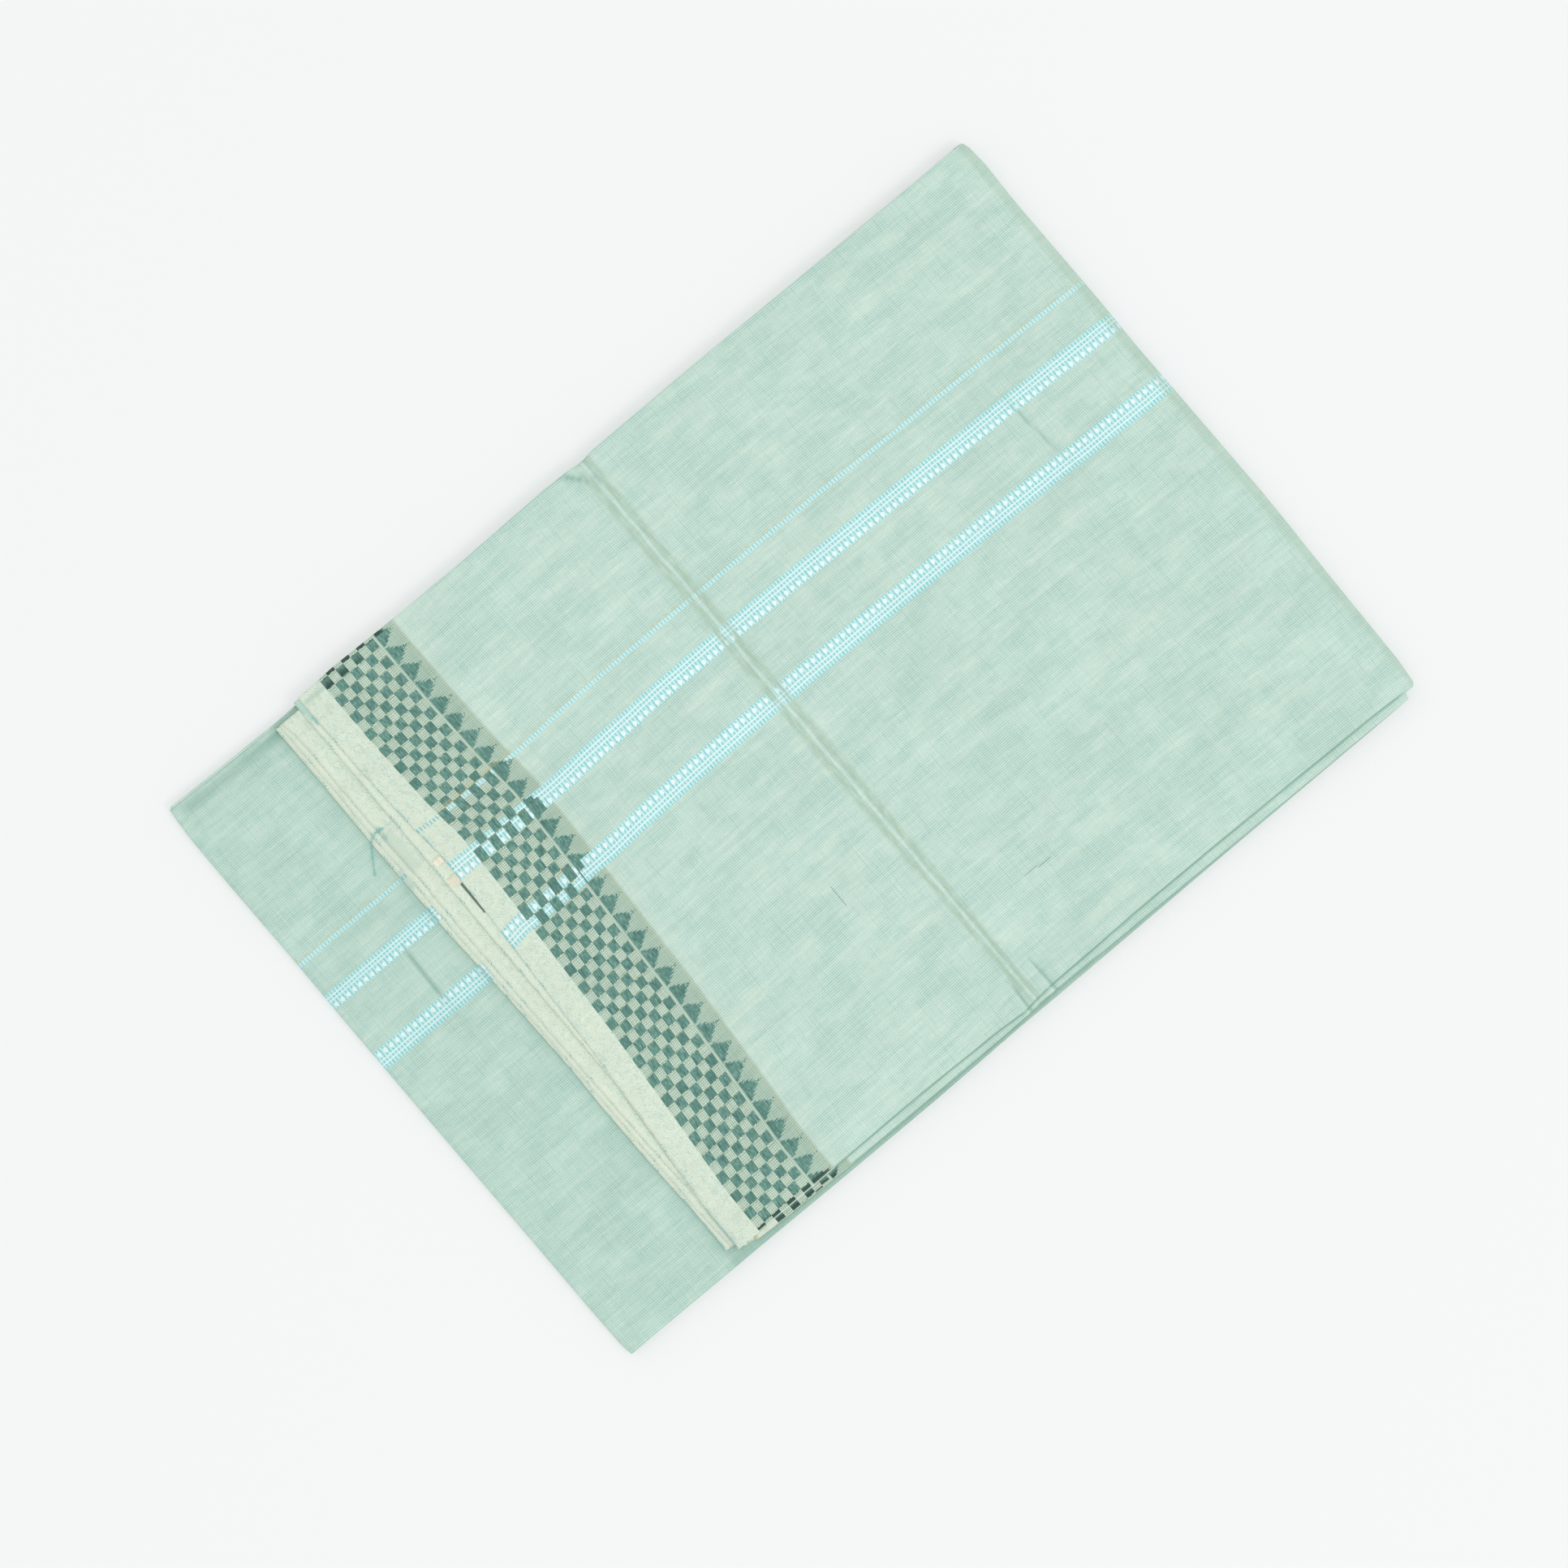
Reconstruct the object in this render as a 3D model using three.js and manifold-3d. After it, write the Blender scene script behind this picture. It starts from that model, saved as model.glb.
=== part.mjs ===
// A folded dhoti, lying flat. Millimetres, +Z up, the origin under its middle on the table.
//
// The cloth is folded along its length in three and then in half, which makes a strip of six
// plies. X runs across the cloth, from selvedge to selvedge, and the strip is laid in three leaves:
//
//              selvedge A _______________________
//      __________________________________________)   top leaf
//     (___________________________________________   middle leaf
//      _________________________________ selvedge B  bottom leaf
//
// Y runs along the cloth. The half fold is the rim at +Y, and at -Y the two groups of three
// plies end one above the other. Each group is one wall here: the face group turns outside at
// the +X fold, and the under group turns outside at the -X fold.

import * as THREE from "three";
import { mergeVertices } from "three/addons/utils/BufferGeometryUtils.js";
import Module from "manifold-3d";

// ---------------------------------------------------------------- driving sizes

const HALF_LENGTH = 225.4; // the middle of the pack to its folds, along X
const HALF_WIDTH = 155.6; // the middle of the pack to its edges, along Y
const WALL = 1; // three plies of cotton, pressed
const GAP = 0.3; // between one wall and the next
const PITCH = WALL + GAP;
const OUTER_TURN = 1.5 * PITCH; // radius of the middle of the wall that turns outside at a fold
const INNER_TURN = 0.5 * PITCH; // and of the wall inside it
const RIM_TURN = 0.5 * PITCH; // radius of the middle of a wall at the half fold
const RIM_RETURN = 1; // how far a rim runs back under its own leaf
const TUCK = 4.1; // from the rim to the end of the wall tucked in it, clear of the rim's return

const level = (wall) => WALL / 2 + wall * PITCH; // height of the middle of a wall, counted from 0
const BOTTOM_UNDER = level(0);
const BOTTOM_FACE = level(1);
const MIDDLE_FACE = level(2);
const MIDDLE_UNDER = level(3);
const TOP_UNDER = level(4);
const TOP_FACE = level(5);

const SELVEDGE_A_FACE = -153; // mean place of the face group's selvedge
const SELVEDGE_A_UNDER = -165; // the under group's selvedge comes out past it
const SELVEDGE_B_FACE = 209; // selvedge B, hidden under the pack
const SELVEDGE_B_UNDER = 213;
const UNDER_FOLD = 216.6; // the under group turns back a little short of the face group
const RETURN_END = 195; // where a group that has turned at the +X fold gives way to the inner plies
const STRIP_END = -118; // where the middle leaf's own plies give way to them, under the top leaf
const HEART_INSET = 9; // the inner plies part from each other this far in from their edges

// ---------------------------------------------------------------- edges and creases

// The ends of the plies at -Y, and the rims at +Y. The walls have a column of points at each row.
const LONG_EDGES = [
  { x: -226, face: -147.9, under: -147.6, lower: -154.4, topRim: 155.2, lowerRim: 155.0 },
  { x: -200, face: -147.9, under: -147.6, lower: -155.3, topRim: 155.2, lowerRim: 154.0 },
  { x: -165, face: -147.9, under: -147.6, lower: -155.4, topRim: 155.2, lowerRim: 153.5 },
  { x: -150, face: -148.1, under: -151.9, lower: -155.4, topRim: 155.0, lowerRim: 154.0 },
  { x: -130, face: -148.6, under: -152.2, lower: -155.5, topRim: 155.6, lowerRim: 154.6 },
  { x: -55, face: -149.5, under: -153.2, lower: -155.3, topRim: 155.3, lowerRim: 154.7 },
  { x: -11, face: -150.7, under: -153.5, lower: -155.1, topRim: 155.5, lowerRim: 154.8 },
  { x: 2, face: -151.9, under: -153.3, lower: -155.1, topRim: 155.0, lowerRim: 154.5 },
  { x: 10, face: -150.9, under: -152.9, lower: -155.1, topRim: 153.8, lowerRim: 153.6 },
  { x: 18, face: -150.4, under: -153.0, lower: -155.1, topRim: 155.0, lowerRim: 154.4 },
  { x: 68, face: -149.3, under: -153.2, lower: -155.3, topRim: 155.1, lowerRim: 154.4 },
  { x: 110, face: -149.6, under: -154.2, lower: -155.3, topRim: 154.6, lowerRim: 154.0 },
  { x: 198, face: -151.3, under: -155.2, lower: -155.5, topRim: 153.2, lowerRim: 152.8 },
  { x: 226, face: -152.2, under: -155.6, lower: -155.3, topRim: 152.8, lowerRim: 152.4 },
];

// How far each selvedge and fold strays from its mean place. The walls have a row of points at
// each row of the table between their two ends.
const CROSS_EDGES = [
  { y: -156, faceSelvedge: -5.8, underSelvedge: 1.9, plusFold: -2.9, minusFold: 2.6 },
  { y: -150, faceSelvedge: -5.8, underSelvedge: 1.9, plusFold: -2.4, minusFold: 1.6 },
  { y: -126, faceSelvedge: -5.4, underSelvedge: 2.0, plusFold: -1.6, minusFold: 0.8 },
  { y: -91, faceSelvedge: -2.4, underSelvedge: 1.3, plusFold: -1.0, minusFold: 0.6 },
  { y: -45, faceSelvedge: 1.1, underSelvedge: 1.8, plusFold: -0.4, minusFold: 0.3 },
  { y: -3, faceSelvedge: 3.1, underSelvedge: 0.4, plusFold: -0.4, minusFold: 0.2 },
  { y: 35, faceSelvedge: 5.0, underSelvedge: -1.2, plusFold: -0.1, minusFold: 0.0 },
  { y: 63, faceSelvedge: 5.9, underSelvedge: -1.5, plusFold: 0.0, minusFold: 0.3 },
  { y: 84, faceSelvedge: 3.9, underSelvedge: -1.8, plusFold: 0.0, minusFold: 0.3 },
  { y: 119, faceSelvedge: 2.6, underSelvedge: -1.1, plusFold: 0.0, minusFold: 0.5 },
  { y: 140, faceSelvedge: 2.5, underSelvedge: -1.3, plusFold: -0.2, minusFold: 0.8 },
  { y: 150, faceSelvedge: 2.5, underSelvedge: -1.5, plusFold: -1.8, minusFold: 1.4 },
  { y: 156, faceSelvedge: 2.5, underSelvedge: -1.5, plusFold: -4.6, minusFold: 3.2 },
];
const STRAY_REACH = 20; // a selvedge's and a fold's strays fade out this far in from it
const END_REACH = 10; // no row of points stands this close to a wall's two ends but their own

// Ridges left by an earlier folding: the place at Y = 0, its drift along Y, size and height.
const TOP_CREASES = [
  { x: 9.2, drift: 0.003, half: 5, height: 0.6 },
  { x: 168, drift: 0, half: 4, height: 0.2 },
];
const MIDDLE_CREASES = [{ x: -186, drift: 0, half: 4, height: 0.25 }];
const CREASE_STEPS = [-1, -0.5, -0.2, 0.2, 0.5, 1]; // columns over a ridge, in halves

// ---------------------------------------------------------------- walls

// Reads one column of a table at a place, straight between its rows.
function read(table, key, column, at) {
  const next = table.findIndex((row) => row[key] >= at);
  if (next <= 0) return table[next === 0 ? 0 : table.length - 1][column];
  const [low, high] = [table[next - 1], table[next]];
  return THREE.MathUtils.mapLinear(at, low[key], high[key], low[column], high[column]);
}

// A cloth edge is rounded: the wall's share of its full thickness, this far in from the edge.
const ROUNDING = [
  { inset: 0, share: 0.4 },
  { inset: 0.3, share: 1 },
];
const ROUNDING_BACK = [...ROUNDING].reverse();

const fade = (distance) => Math.max(0, 1 - distance / STRAY_REACH);

// Places of the columns on a flat stretch from start to end, both of them left out.
function flatPlaces(start, end, creases) {
  const [low, high] = [Math.min(start, end), Math.max(start, end)];
  const CLOSEST = 1.2;
  const ridges = creases.flatMap(({ x, half }) => CREASE_STEPS.map((step) => x + step * half));
  const free = LONG_EDGES.filter(({ x }) => ridges.every((at) => Math.abs(x - at) > CLOSEST));
  const places = [...free.map(({ x }) => x), ...ridges];
  const inside = places.filter((x) => x > low + CLOSEST && x < high - CLOSEST);
  return inside.sort((a, b) => (end > start ? a - b : b - a));
}

// The way a wall takes across the pack: along one leaf from its edge, round a fold and back along
// the next leaf. Each station has the wall's middle (x, z), its outward normal and its thickness.
function way({ start, stray, fold, foldStray, turn, from, to, end, creases = [] }) {
  const side = Math.sign(fold - start);
  const centreX = fold - side * (turn + WALL / 2);
  const centreZ = (from + to) / 2;
  const outward = Math.sign(from - to);
  const stations = [];
  const flat = (x, z, nz, share, edgePull) => {
    stations.push({ x, z, nx: 0, nz, share, stray, edgePull, foldStray,
      foldPull: fade(Math.abs(x - centreX)), creases: nz > 0 ? creases : [] });
  };
  for (const { inset, share } of ROUNDING) flat(start + side * inset, from, outward, share, 1);
  for (const x of [...flatPlaces(start, centreX, creases), centreX]) {
    flat(x, from, outward, 1, fade(Math.abs(x - start)));
  }
  const TURN_STEPS = 6;
  for (let i = 1; i < TURN_STEPS; i += 1) {
    const angle = (Math.PI * i) / TURN_STEPS;
    const [nx, nz] = [side * Math.sin(angle), outward * Math.cos(angle)];
    stations.push({ x: centreX + turn * nx, z: centreZ + turn * nz, nx, nz, share: 1, stray,
      edgePull: 0, foldStray, foldPull: 1, creases: [] });
  }
  for (const x of [centreX, ...flatPlaces(centreX, end, creases)]) flat(x, to, -outward, 1, 0);
  for (const { inset, share } of ROUNDING_BACK) flat(end + side * inset, to, -outward, share, 0);
  return stations;
}

// The way of a wall that stays in one leaf.
function straightWay({ start, end, height }) {
  const middle = flatPlaces(start, end, []).map((x) => ({ x, share: 1 }));
  const first = ROUNDING.map(({ inset, share }) => ({ x: start + inset, share }));
  const last = ROUNDING_BACK.map(({ inset, share }) => ({ x: end - inset, share }));
  return [...first, ...middle, ...last].map(({ x, share }) => ({ x, z: height, nx: 0, nz: 1,
    share, edgePull: 0, foldPull: 0, creases: [] }));
}

// The rows of a wall from its -Y edge to its +Y end, which is a rim or is tucked inside one.
function rowsOf({ front, back, rim }) {
  const rows = ROUNDING.map(({ inset, share }) => ({ edge: front, offset: inset, share }));
  for (const { y } of CROSS_EDGES) {
    if (Math.abs(y) < HALF_WIDTH - END_REACH) rows.push({ y, share: 1 });
  }
  if (!rim) {
    for (const { inset, share } of ROUNDING_BACK) {
      rows.push({ edge: back, offset: -TUCK - inset, share });
    }
    return rows;
  }
  rows.push({ edge: back, offset: -TUCK, share: 1 });
  const RIM_STEPS = 5;
  for (let i = 0; i <= RIM_STEPS; i += 1) {
    const angle = (Math.PI * i) / RIM_STEPS;
    const offset = RIM_TURN * Math.sin(angle) - RIM_TURN - WALL / 2;
    rows.push({ edge: back, offset, angle, share: 1 });
  }
  for (const { inset, share } of ROUNDING_BACK) {
    const offset = inset - RIM_TURN - WALL / 2 - RIM_RETURN;
    rows.push({ edge: back, offset, angle: Math.PI, share });
  }
  return rows;
}

function ridge(creases, x, y) {
  let height = 0;
  for (const crease of creases) {
    const across = (x - crease.x - crease.drift * y) / crease.half;
    if (Math.abs(across) < 1) height += crease.height * (1 - across * across) ** 2;
  }
  return height;
}

// The point of a wall's outer (side 1) or inner (side -1) skin at one station and row.
function skinPoint(station, row, side) {
  const y = row.edge ? read(LONG_EDGES, "x", row.edge, station.x) + row.offset : row.y;
  const strayOf = (name) => (name ? read(CROSS_EDGES, "y", name, y) : 0);
  const x = station.x + station.edgePull * strayOf(station.stray)
    + station.foldPull * strayOf(station.foldStray);
  const angle = row.angle ?? 0;
  const lift = ridge(station.creases, station.x, y) * Math.max(0, Math.cos(angle));
  const half = (side * WALL * Math.min(station.share, row.share)) / 2;
  const out = lift - RIM_TURN * (1 - Math.cos(angle)) + half * Math.cos(angle);
  return [x + station.nx * out, y + half * Math.sin(angle), station.z + station.nz * out];
}

// A closed wall: its outer and inner skins over the same stations and rows, and its edges.
function wall(stations, rows) {
  const [columns, depth] = [stations.length, rows.length];
  const points = [1, -1].flatMap((side) => stations.flatMap((station) => (
    rows.flatMap((row) => skinPoint(station, row, side)))));
  const faces = [];
  const quad = (a, b, c, d) => faces.push(a, b, c, a, c, d);
  const outer = (i, j) => i * depth + j;
  const inner = (i, j) => (columns + i) * depth + j;
  const [lastColumn, lastRow] = [columns - 1, depth - 1];
  for (let i = 0; i < lastColumn; i += 1) {
    for (let j = 0; j < lastRow; j += 1) {
      quad(outer(i, j), outer(i + 1, j), outer(i + 1, j + 1), outer(i, j + 1));
      quad(inner(i, j + 1), inner(i + 1, j + 1), inner(i + 1, j), inner(i, j));
    }
    quad(inner(i, 0), inner(i + 1, 0), outer(i + 1, 0), outer(i, 0));
    quad(outer(i, lastRow), outer(i + 1, lastRow), inner(i + 1, lastRow), inner(i, lastRow));
  }
  for (let j = 0; j < lastRow; j += 1) {
    quad(inner(0, j), outer(0, j), outer(0, j + 1), inner(0, j + 1));
    quad(outer(lastColumn, j), inner(lastColumn, j), inner(lastColumn, j + 1),
      outer(lastColumn, j + 1));
  }
  const geometry = new THREE.BufferGeometry();
  geometry.setAttribute("position", new THREE.Float32BufferAttribute(points, 3));
  geometry.setIndex(faces);
  return geometry;
}

// ---------------------------------------------------------------- joining solids

const solids = await Module();
solids.setup();

function toSolid(geometry) {
  const bare = new THREE.BufferGeometry();
  bare.setAttribute("position", geometry.getAttribute("position"));
  bare.setIndex(geometry.index);
  const merged = mergeVertices(bare, 1e-4);
  const vertProperties = new Float32Array(merged.getAttribute("position").array);
  const triVerts = new Uint32Array(merged.index.array);
  return new solids.Manifold(new solids.Mesh({ numProp: 3, vertProperties, triVerts }));
}

function joined(geometries) {
  const mesh = geometries.map(toSolid).reduce((sum, next) => sum.add(next)).getMesh();
  const geometry = new THREE.BufferGeometry();
  geometry.setAttribute("position", new THREE.Float32BufferAttribute(mesh.vertProperties, 3));
  geometry.setIndex([...mesh.triVerts]);
  return geometry;
}

// ---------------------------------------------------------------- the pieces

// The face group: the top leaf from selvedge A, round the +X fold and a little way back.
function facePlies() {
  const stations = way({ start: SELVEDGE_A_FACE, stray: "faceSelvedge", fold: HALF_LENGTH,
    foldStray: "plusFold", turn: OUTER_TURN, from: TOP_FACE, to: MIDDLE_FACE, end: RETURN_END,
    creases: TOP_CREASES });
  return wall(stations, rowsOf({ front: "face", back: "topRim", rim: true }));
}

// The under group of the top leaf, whose selvedge comes out past the face group's.
function underPlies() {
  const stations = way({ start: SELVEDGE_A_UNDER, stray: "underSelvedge", fold: UNDER_FOLD,
    foldStray: "plusFold", turn: INNER_TURN, from: TOP_UNDER, to: MIDDLE_UNDER, end: RETURN_END });
  return wall(stations, rowsOf({ front: "under", back: "topRim", rim: false }));
}

// The under group again: the bottom leaf from selvedge B, round the -X fold and along the strip
// of the middle leaf that shows past the top leaf.
function outerPlies() {
  const stations = way({ start: SELVEDGE_B_UNDER, fold: -HALF_LENGTH, foldStray: "minusFold",
    turn: OUTER_TURN, from: BOTTOM_UNDER, to: MIDDLE_UNDER, end: STRIP_END,
    creases: MIDDLE_CREASES });
  return wall(stations, rowsOf({ front: "lower", back: "lowerRim", rim: true }));
}

// Everything between: two walls that turn back at the -X fold, and one above them, parted at
// their edges and joined at heart.
function innerPlies() {
  const turned = way({ start: SELVEDGE_B_FACE, fold: PITCH - HALF_LENGTH, foldStray: "minusFold",
    turn: INNER_TURN, from: BOTTOM_FACE, to: MIDDLE_FACE, end: RETURN_END - GAP });
  const above = straightWay({ start: STRIP_END + GAP, end: RETURN_END - GAP,
    height: MIDDLE_UNDER });
  const heartLength = RETURN_END - STRIP_END - 2 * HEART_INSET;
  const heartWidth = 2 * (HALF_WIDTH - TUCK - HEART_INSET);
  const heart = new THREE.BoxGeometry(heartLength, heartWidth, MIDDLE_UNDER - BOTTOM_FACE);
  heart.translate((RETURN_END + STRIP_END) / 2, 0, (MIDDLE_UNDER + BOTTOM_FACE) / 2);
  return joined([
    wall(turned, rowsOf({ front: "lower", back: "lowerRim", rim: false })),
    wall(above, rowsOf({ front: "lower", back: "lowerRim", rim: true })),
    heart,
  ]);
}

// ---------------------------------------------------------------- the pack

const SEA_GREEN = 0xc2ddd3;
const SHADED_GREEN = 0xbad7cc;
const CREAM = 0xd6e4d2;

const pieces = [
  { name: "top_leaf_face_plies", make: facePlies, colour: SEA_GREEN },
  { name: "top_leaf_under_plies", make: underPlies, colour: CREAM },
  { name: "middle_and_bottom_leaf_plies", make: outerPlies, colour: SHADED_GREEN },
  { name: "hidden_inner_plies", make: innerPlies, colour: SHADED_GREEN },
];

const dhoti = new THREE.Group();
for (const { name, make, colour } of pieces) {
  const geometry = make();
  geometry.computeVertexNormals();
  const material = new THREE.MeshStandardMaterial({ color: colour, roughness: 0.9, metalness: 0 });
  const mesh = new THREE.Mesh(geometry, material);
  mesh.name = name;
  dhoti.add(mesh);
}

export default dhoti;
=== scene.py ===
# %% [markdown]
# # A folded dhoti, dressed
# A dhoti is one uncut length of handloom cotton, 1.27 m wide and longer than a person is tall.
# This one is folded for the shelf: in three and then in half along its length, which makes a
# strip of six plies, and then across its width in three leaves, as a letter is.
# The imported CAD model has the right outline, but only as four plain walls. This script puts the
# cloth over it, ply by ply, in metres and in the same frame.

# %% Load the frame
import math
import random

import bmesh
import bpy
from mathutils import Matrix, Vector, noise


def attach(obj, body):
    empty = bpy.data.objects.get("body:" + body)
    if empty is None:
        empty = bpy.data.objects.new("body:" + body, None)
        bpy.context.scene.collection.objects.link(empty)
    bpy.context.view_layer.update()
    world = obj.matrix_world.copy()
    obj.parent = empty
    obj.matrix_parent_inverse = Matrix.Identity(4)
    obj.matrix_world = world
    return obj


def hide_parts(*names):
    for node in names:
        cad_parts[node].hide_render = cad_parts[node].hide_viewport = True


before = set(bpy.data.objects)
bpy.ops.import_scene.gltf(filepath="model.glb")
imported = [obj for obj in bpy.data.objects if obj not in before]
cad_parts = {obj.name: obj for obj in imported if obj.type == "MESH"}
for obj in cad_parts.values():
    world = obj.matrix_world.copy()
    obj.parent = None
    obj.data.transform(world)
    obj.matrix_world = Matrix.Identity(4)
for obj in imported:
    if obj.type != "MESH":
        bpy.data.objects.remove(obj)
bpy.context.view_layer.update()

MM = 0.001


# %% [markdown]
# ## Camera
# The cloth lies on a table and is seen from straight above, turned so that its long folds run
# from the lower left to the upper right. A long lens from 1.6 m keeps its edges parallel.

# %% Camera
FRAME_SPAN = 677.9 * MM  # what the square frame takes in, at the height of the cloth
SENSOR = 36.0
LENS = 85.0
LOOK_AT = Vector((-13.9 * MM, -8.95 * MM, 7.5 * MM))
TURN_OF_VIEW = math.radians(-40.2)


def link(name, data):
    """A new object of the scene for this data, at the origin."""
    made = bpy.data.objects.new(name, data)
    bpy.context.scene.collection.objects.link(made)
    return made


camera = link("camera", bpy.data.cameras.new("camera"))
camera.data.lens, camera.data.sensor_width = LENS, SENSOR
camera.location = LOOK_AT + Vector((0, 0, FRAME_SPAN * LENS / SENSOR))
camera.rotation_euler = (0, 0, TURN_OF_VIEW)
bpy.context.scene.camera = camera
print("camera height:", round(camera.location.z, 3))


# %% [markdown]
# ## The fold
# A cloth that is only folded keeps its flat size, so the surest way to the shape is to follow a
# thread through the pack. A point of a ply is given by its place along the path that all plies
# share, and by its depth in the strip, counted from the middle of a leaf. On the top leaf the
# path goes from selvedge A to the right-hand fold, comes back under it as the middle leaf, turns
# at the left-hand fold and ends at selvedge B on the bottom leaf.

# %% Sizes of the fold, in millimetres
PLIES = 6
PLY_PITCH = 0.4
PLY_THICKNESS = 0.3
TOP_LEAF, MIDDLE_LEAF, BOTTOM_LEAF = 6.35, 3.75, 1.15  # heights of the middle of each leaf
FOLD_TURN = 1.3  # radius that the middle of a leaf turns with
PLUS_FOLD_FACE = 222.95  # centre of the right-hand fold of the three upper plies
PLUS_FOLD_UNDER = 215.45  # the three lower plies turn back sooner
MINUS_FOLD = -223.35
SELVEDGE_END = -140.0  # here the columns of points stop following each ply's own selvedge
CLOTH_WIDTH = 1268.0
SELVEDGE_B_FACE, SELVEDGE_B_UNDER = 209.0, 213.0
STRAY_REACH = 20.0

DEPTHS = [(PLIES - 1) / 2 * PLY_PITCH - ply * PLY_PITCH for ply in range(PLIES)]
print("depths of the plies from the middle of their leaf:", [round(w, 2) for w in DEPTHS])


# %% [markdown]
# The edges aren't straight: a pressed cloth keeps the small strays of the hands that folded it.
# Short tables give them, one named column for each edge, read with straight lines between rows.

# %% Tables of the edges
def table(names, *rows):
    return [dict(zip(names.split(), row)) for row in rows]


def read(rows, key, column, at):
    if at <= rows[0][key]:
        return rows[0][column]
    for low, high in zip(rows, rows[1:]):
        if at <= high[key]:
            share = (at - low[key]) / (high[key] - low[key])
            return low[column] + share * (high[column] - low[column])
    return rows[-1][column]


# The ends of the plies at -Y and the rims at +Y. Of the plies of the top leaf, fold is the first
# two, loose is the third, and under is the other three.
LONG_EDGES = table(
    "x fold loose under lower top_rim lower_rim",
    (-226, -150, -151.6, -147.6, -155.2, 155.2, 155.1),
    (-212, -150, -151.6, -147.6, -155.1, 155.2, 154.8),
    (-200, -150, -151.6, -147.6, -155.2, 155.2, 154.4),
    (-165, -150, -151.6, -147.4, -155.4, 155.2, 153.6),
    (-158.8, -150, -151.6, -147.5, -155.4, 155.1, 153.7),
    (-157.4, -150, -151.6, -150.9, -155.4, 155.1, 153.7),
    (-151, -150, -152.2, -151.3, -155.4, 155.2, 154.2),
    (-130, -150, -153, -152.4, -155.6, 155.8, 154.6),
    (-100, -150, -153.6, -153.2, -155.9, 155, 154.4),
    (-55, -149.9, -154, -153.6, -156.1, 154.7, 154.2),
    (-11, -150.9, -154, -153.6, -155.6, 155.4, 154.6),
    (2, -151.9, -153.8, -153.4, -155.4, 155, 154.5),
    (10, -150.9, -153.3, -152.9, -155.7, 153.8, 153.6),
    (18, -150.4, -153.3, -152.9, -155.6, 155, 154.4),
    (68, -149.8, -153.6, -153.2, -155.5, 155.1, 154.4),
    (110, -149.9, -154.2, -153.8, -155.4, 154.6, 154),
    (198, -151.3, -155.2, -154.8, -155.6, 153.5, 153),
    (219.1, -152.1, -155.4, -155.2, -155.6, 153.6, 153),
    (219.3, -152.1, -152.5, -152.5, -152.8, 153.6, 153),
    (226, -152.2, -152.5, -152.5, -152.8, 153.5, 153),
)

# Where each ply's selvedge A lies on the top leaf, and how far the two folds stray. The columns
# are the face ply, the two plies inside it, and the three plies under them.
CROSS_EDGES = table(
    "y face second third fourth fifth sixth plus_fold minus_fold",
    (-156, -158.8, -153.3, -150.2, -157, -160.4, -163.5, -3.3, 1.9),
    (-150, -158.8, -153.3, -150.2, -157, -160.6, -163.5, -2.5, 1),
    (-140, -158.7, -153.3, -150.6, -157.3, -161.2, -163.4, -1.5, 0.8),
    (-126, -158.4, -153.3, -153, -158.2, -161.9, -163.3, -1.2, 0.6),
    (-91, -155.4, -153.3, -153, -159.8, -162.4, -164.2, -0.6, 0.5),
    (-63, -153.3, -153.3, -152.9, -160.3, -162.7, -164.4, 0.2, 0.3),
    (-45, -151.9, -153.3, -152.9, -160.6, -162.8, -163.9, 0.5, 0.2),
    (-3, -149.9, -153.3, -153.1, -161, -163.6, -164.9, 0.2, 0),
    (35, -148, -153.4, -152.8, -161.4, -164.4, -166.6, -0.2, -0.1),
    (63, -147.1, -153.2, -153, -161, -164.2, -166.9, 0.2, 0.1),
    (84, -149.1, -153.3, -152.7, -161.6, -164.9, -167, 0.1, 0),
    (119, -150.4, -153.3, -153, -161.9, -164.5, -166.5, -0.1, -0.2),
    (140, -150.5, -153.4, -152.9, -161.5, -164.8, -166.6, 0.5, -0.1),
    (150, -150.5, -153.3, -153, -163.2, -164.9, -166.8, -0.2, 0.6),
    (156, -150.5, -153.3, -153, -163.6, -164.9, -166.8, -2.2, 1.3),
)
SELVEDGE_COLUMNS = ["face", "second", "third", "fourth", "fifth", "sixth"]

# A weft thread isn't straight either. It bows along X, and not the same amount at the thin line,
# at the first and the second stripe, and below them.
WEFT_BOW = table(
    "x thin first second low",
    (-160, 1.4, 0.3, -1.8, -1), (-150, 1.2, 0.4, -1.4, -0.4), (-140, 0.3, 0.3, 0.1, 0),
    (-125, 0, 0, 0, 0.3), (-112, 0, 0, 0.2, 0.8), (-104, 0.1, 0.3, 0.6, 1.3),
    (-97, -0.1, 0, 0.6, 1.6), (-88, -0.1, 0, 0.7, 1.8), (-79, 0.4, 0.4, 1.3, 2),
    (-70, 0.9, 0.9, 1.9, 2.3), (-50, 1.5, 1.6, 2.7, 2.8), (-30, 1.7, 2.5, 3.2, 3.2),
    (0, 1.7, 2.7, 3.7, 3.7), (20, 1.6, 2.6, 3.8, 3.8), (50, 1.4, 2.4, 3.7, 3.7),
    (80, 1.1, 1.7, 3.4, 3.4), (100, 0.5, 1.3, 3, 3), (120, -0.1, 0.9, 2.7, 2.7),
    (140, -0.5, 0.3, 2.2, 2.2), (160, -1, -0.1, 1.6, 1.6), (180, -1.7, -0.8, 0.7, 0.7),
    (200, -2.3, -1.5, 0.2, 0.2), (226, -3, -2.4, -0.4, -0.4),
)
# Place along the warp, and the column that holds there.
BOW_LEVELS = [(-6.0, "low"), (18.0, "second"), (54.0, "first"), (76.0, "thin")]

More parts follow.
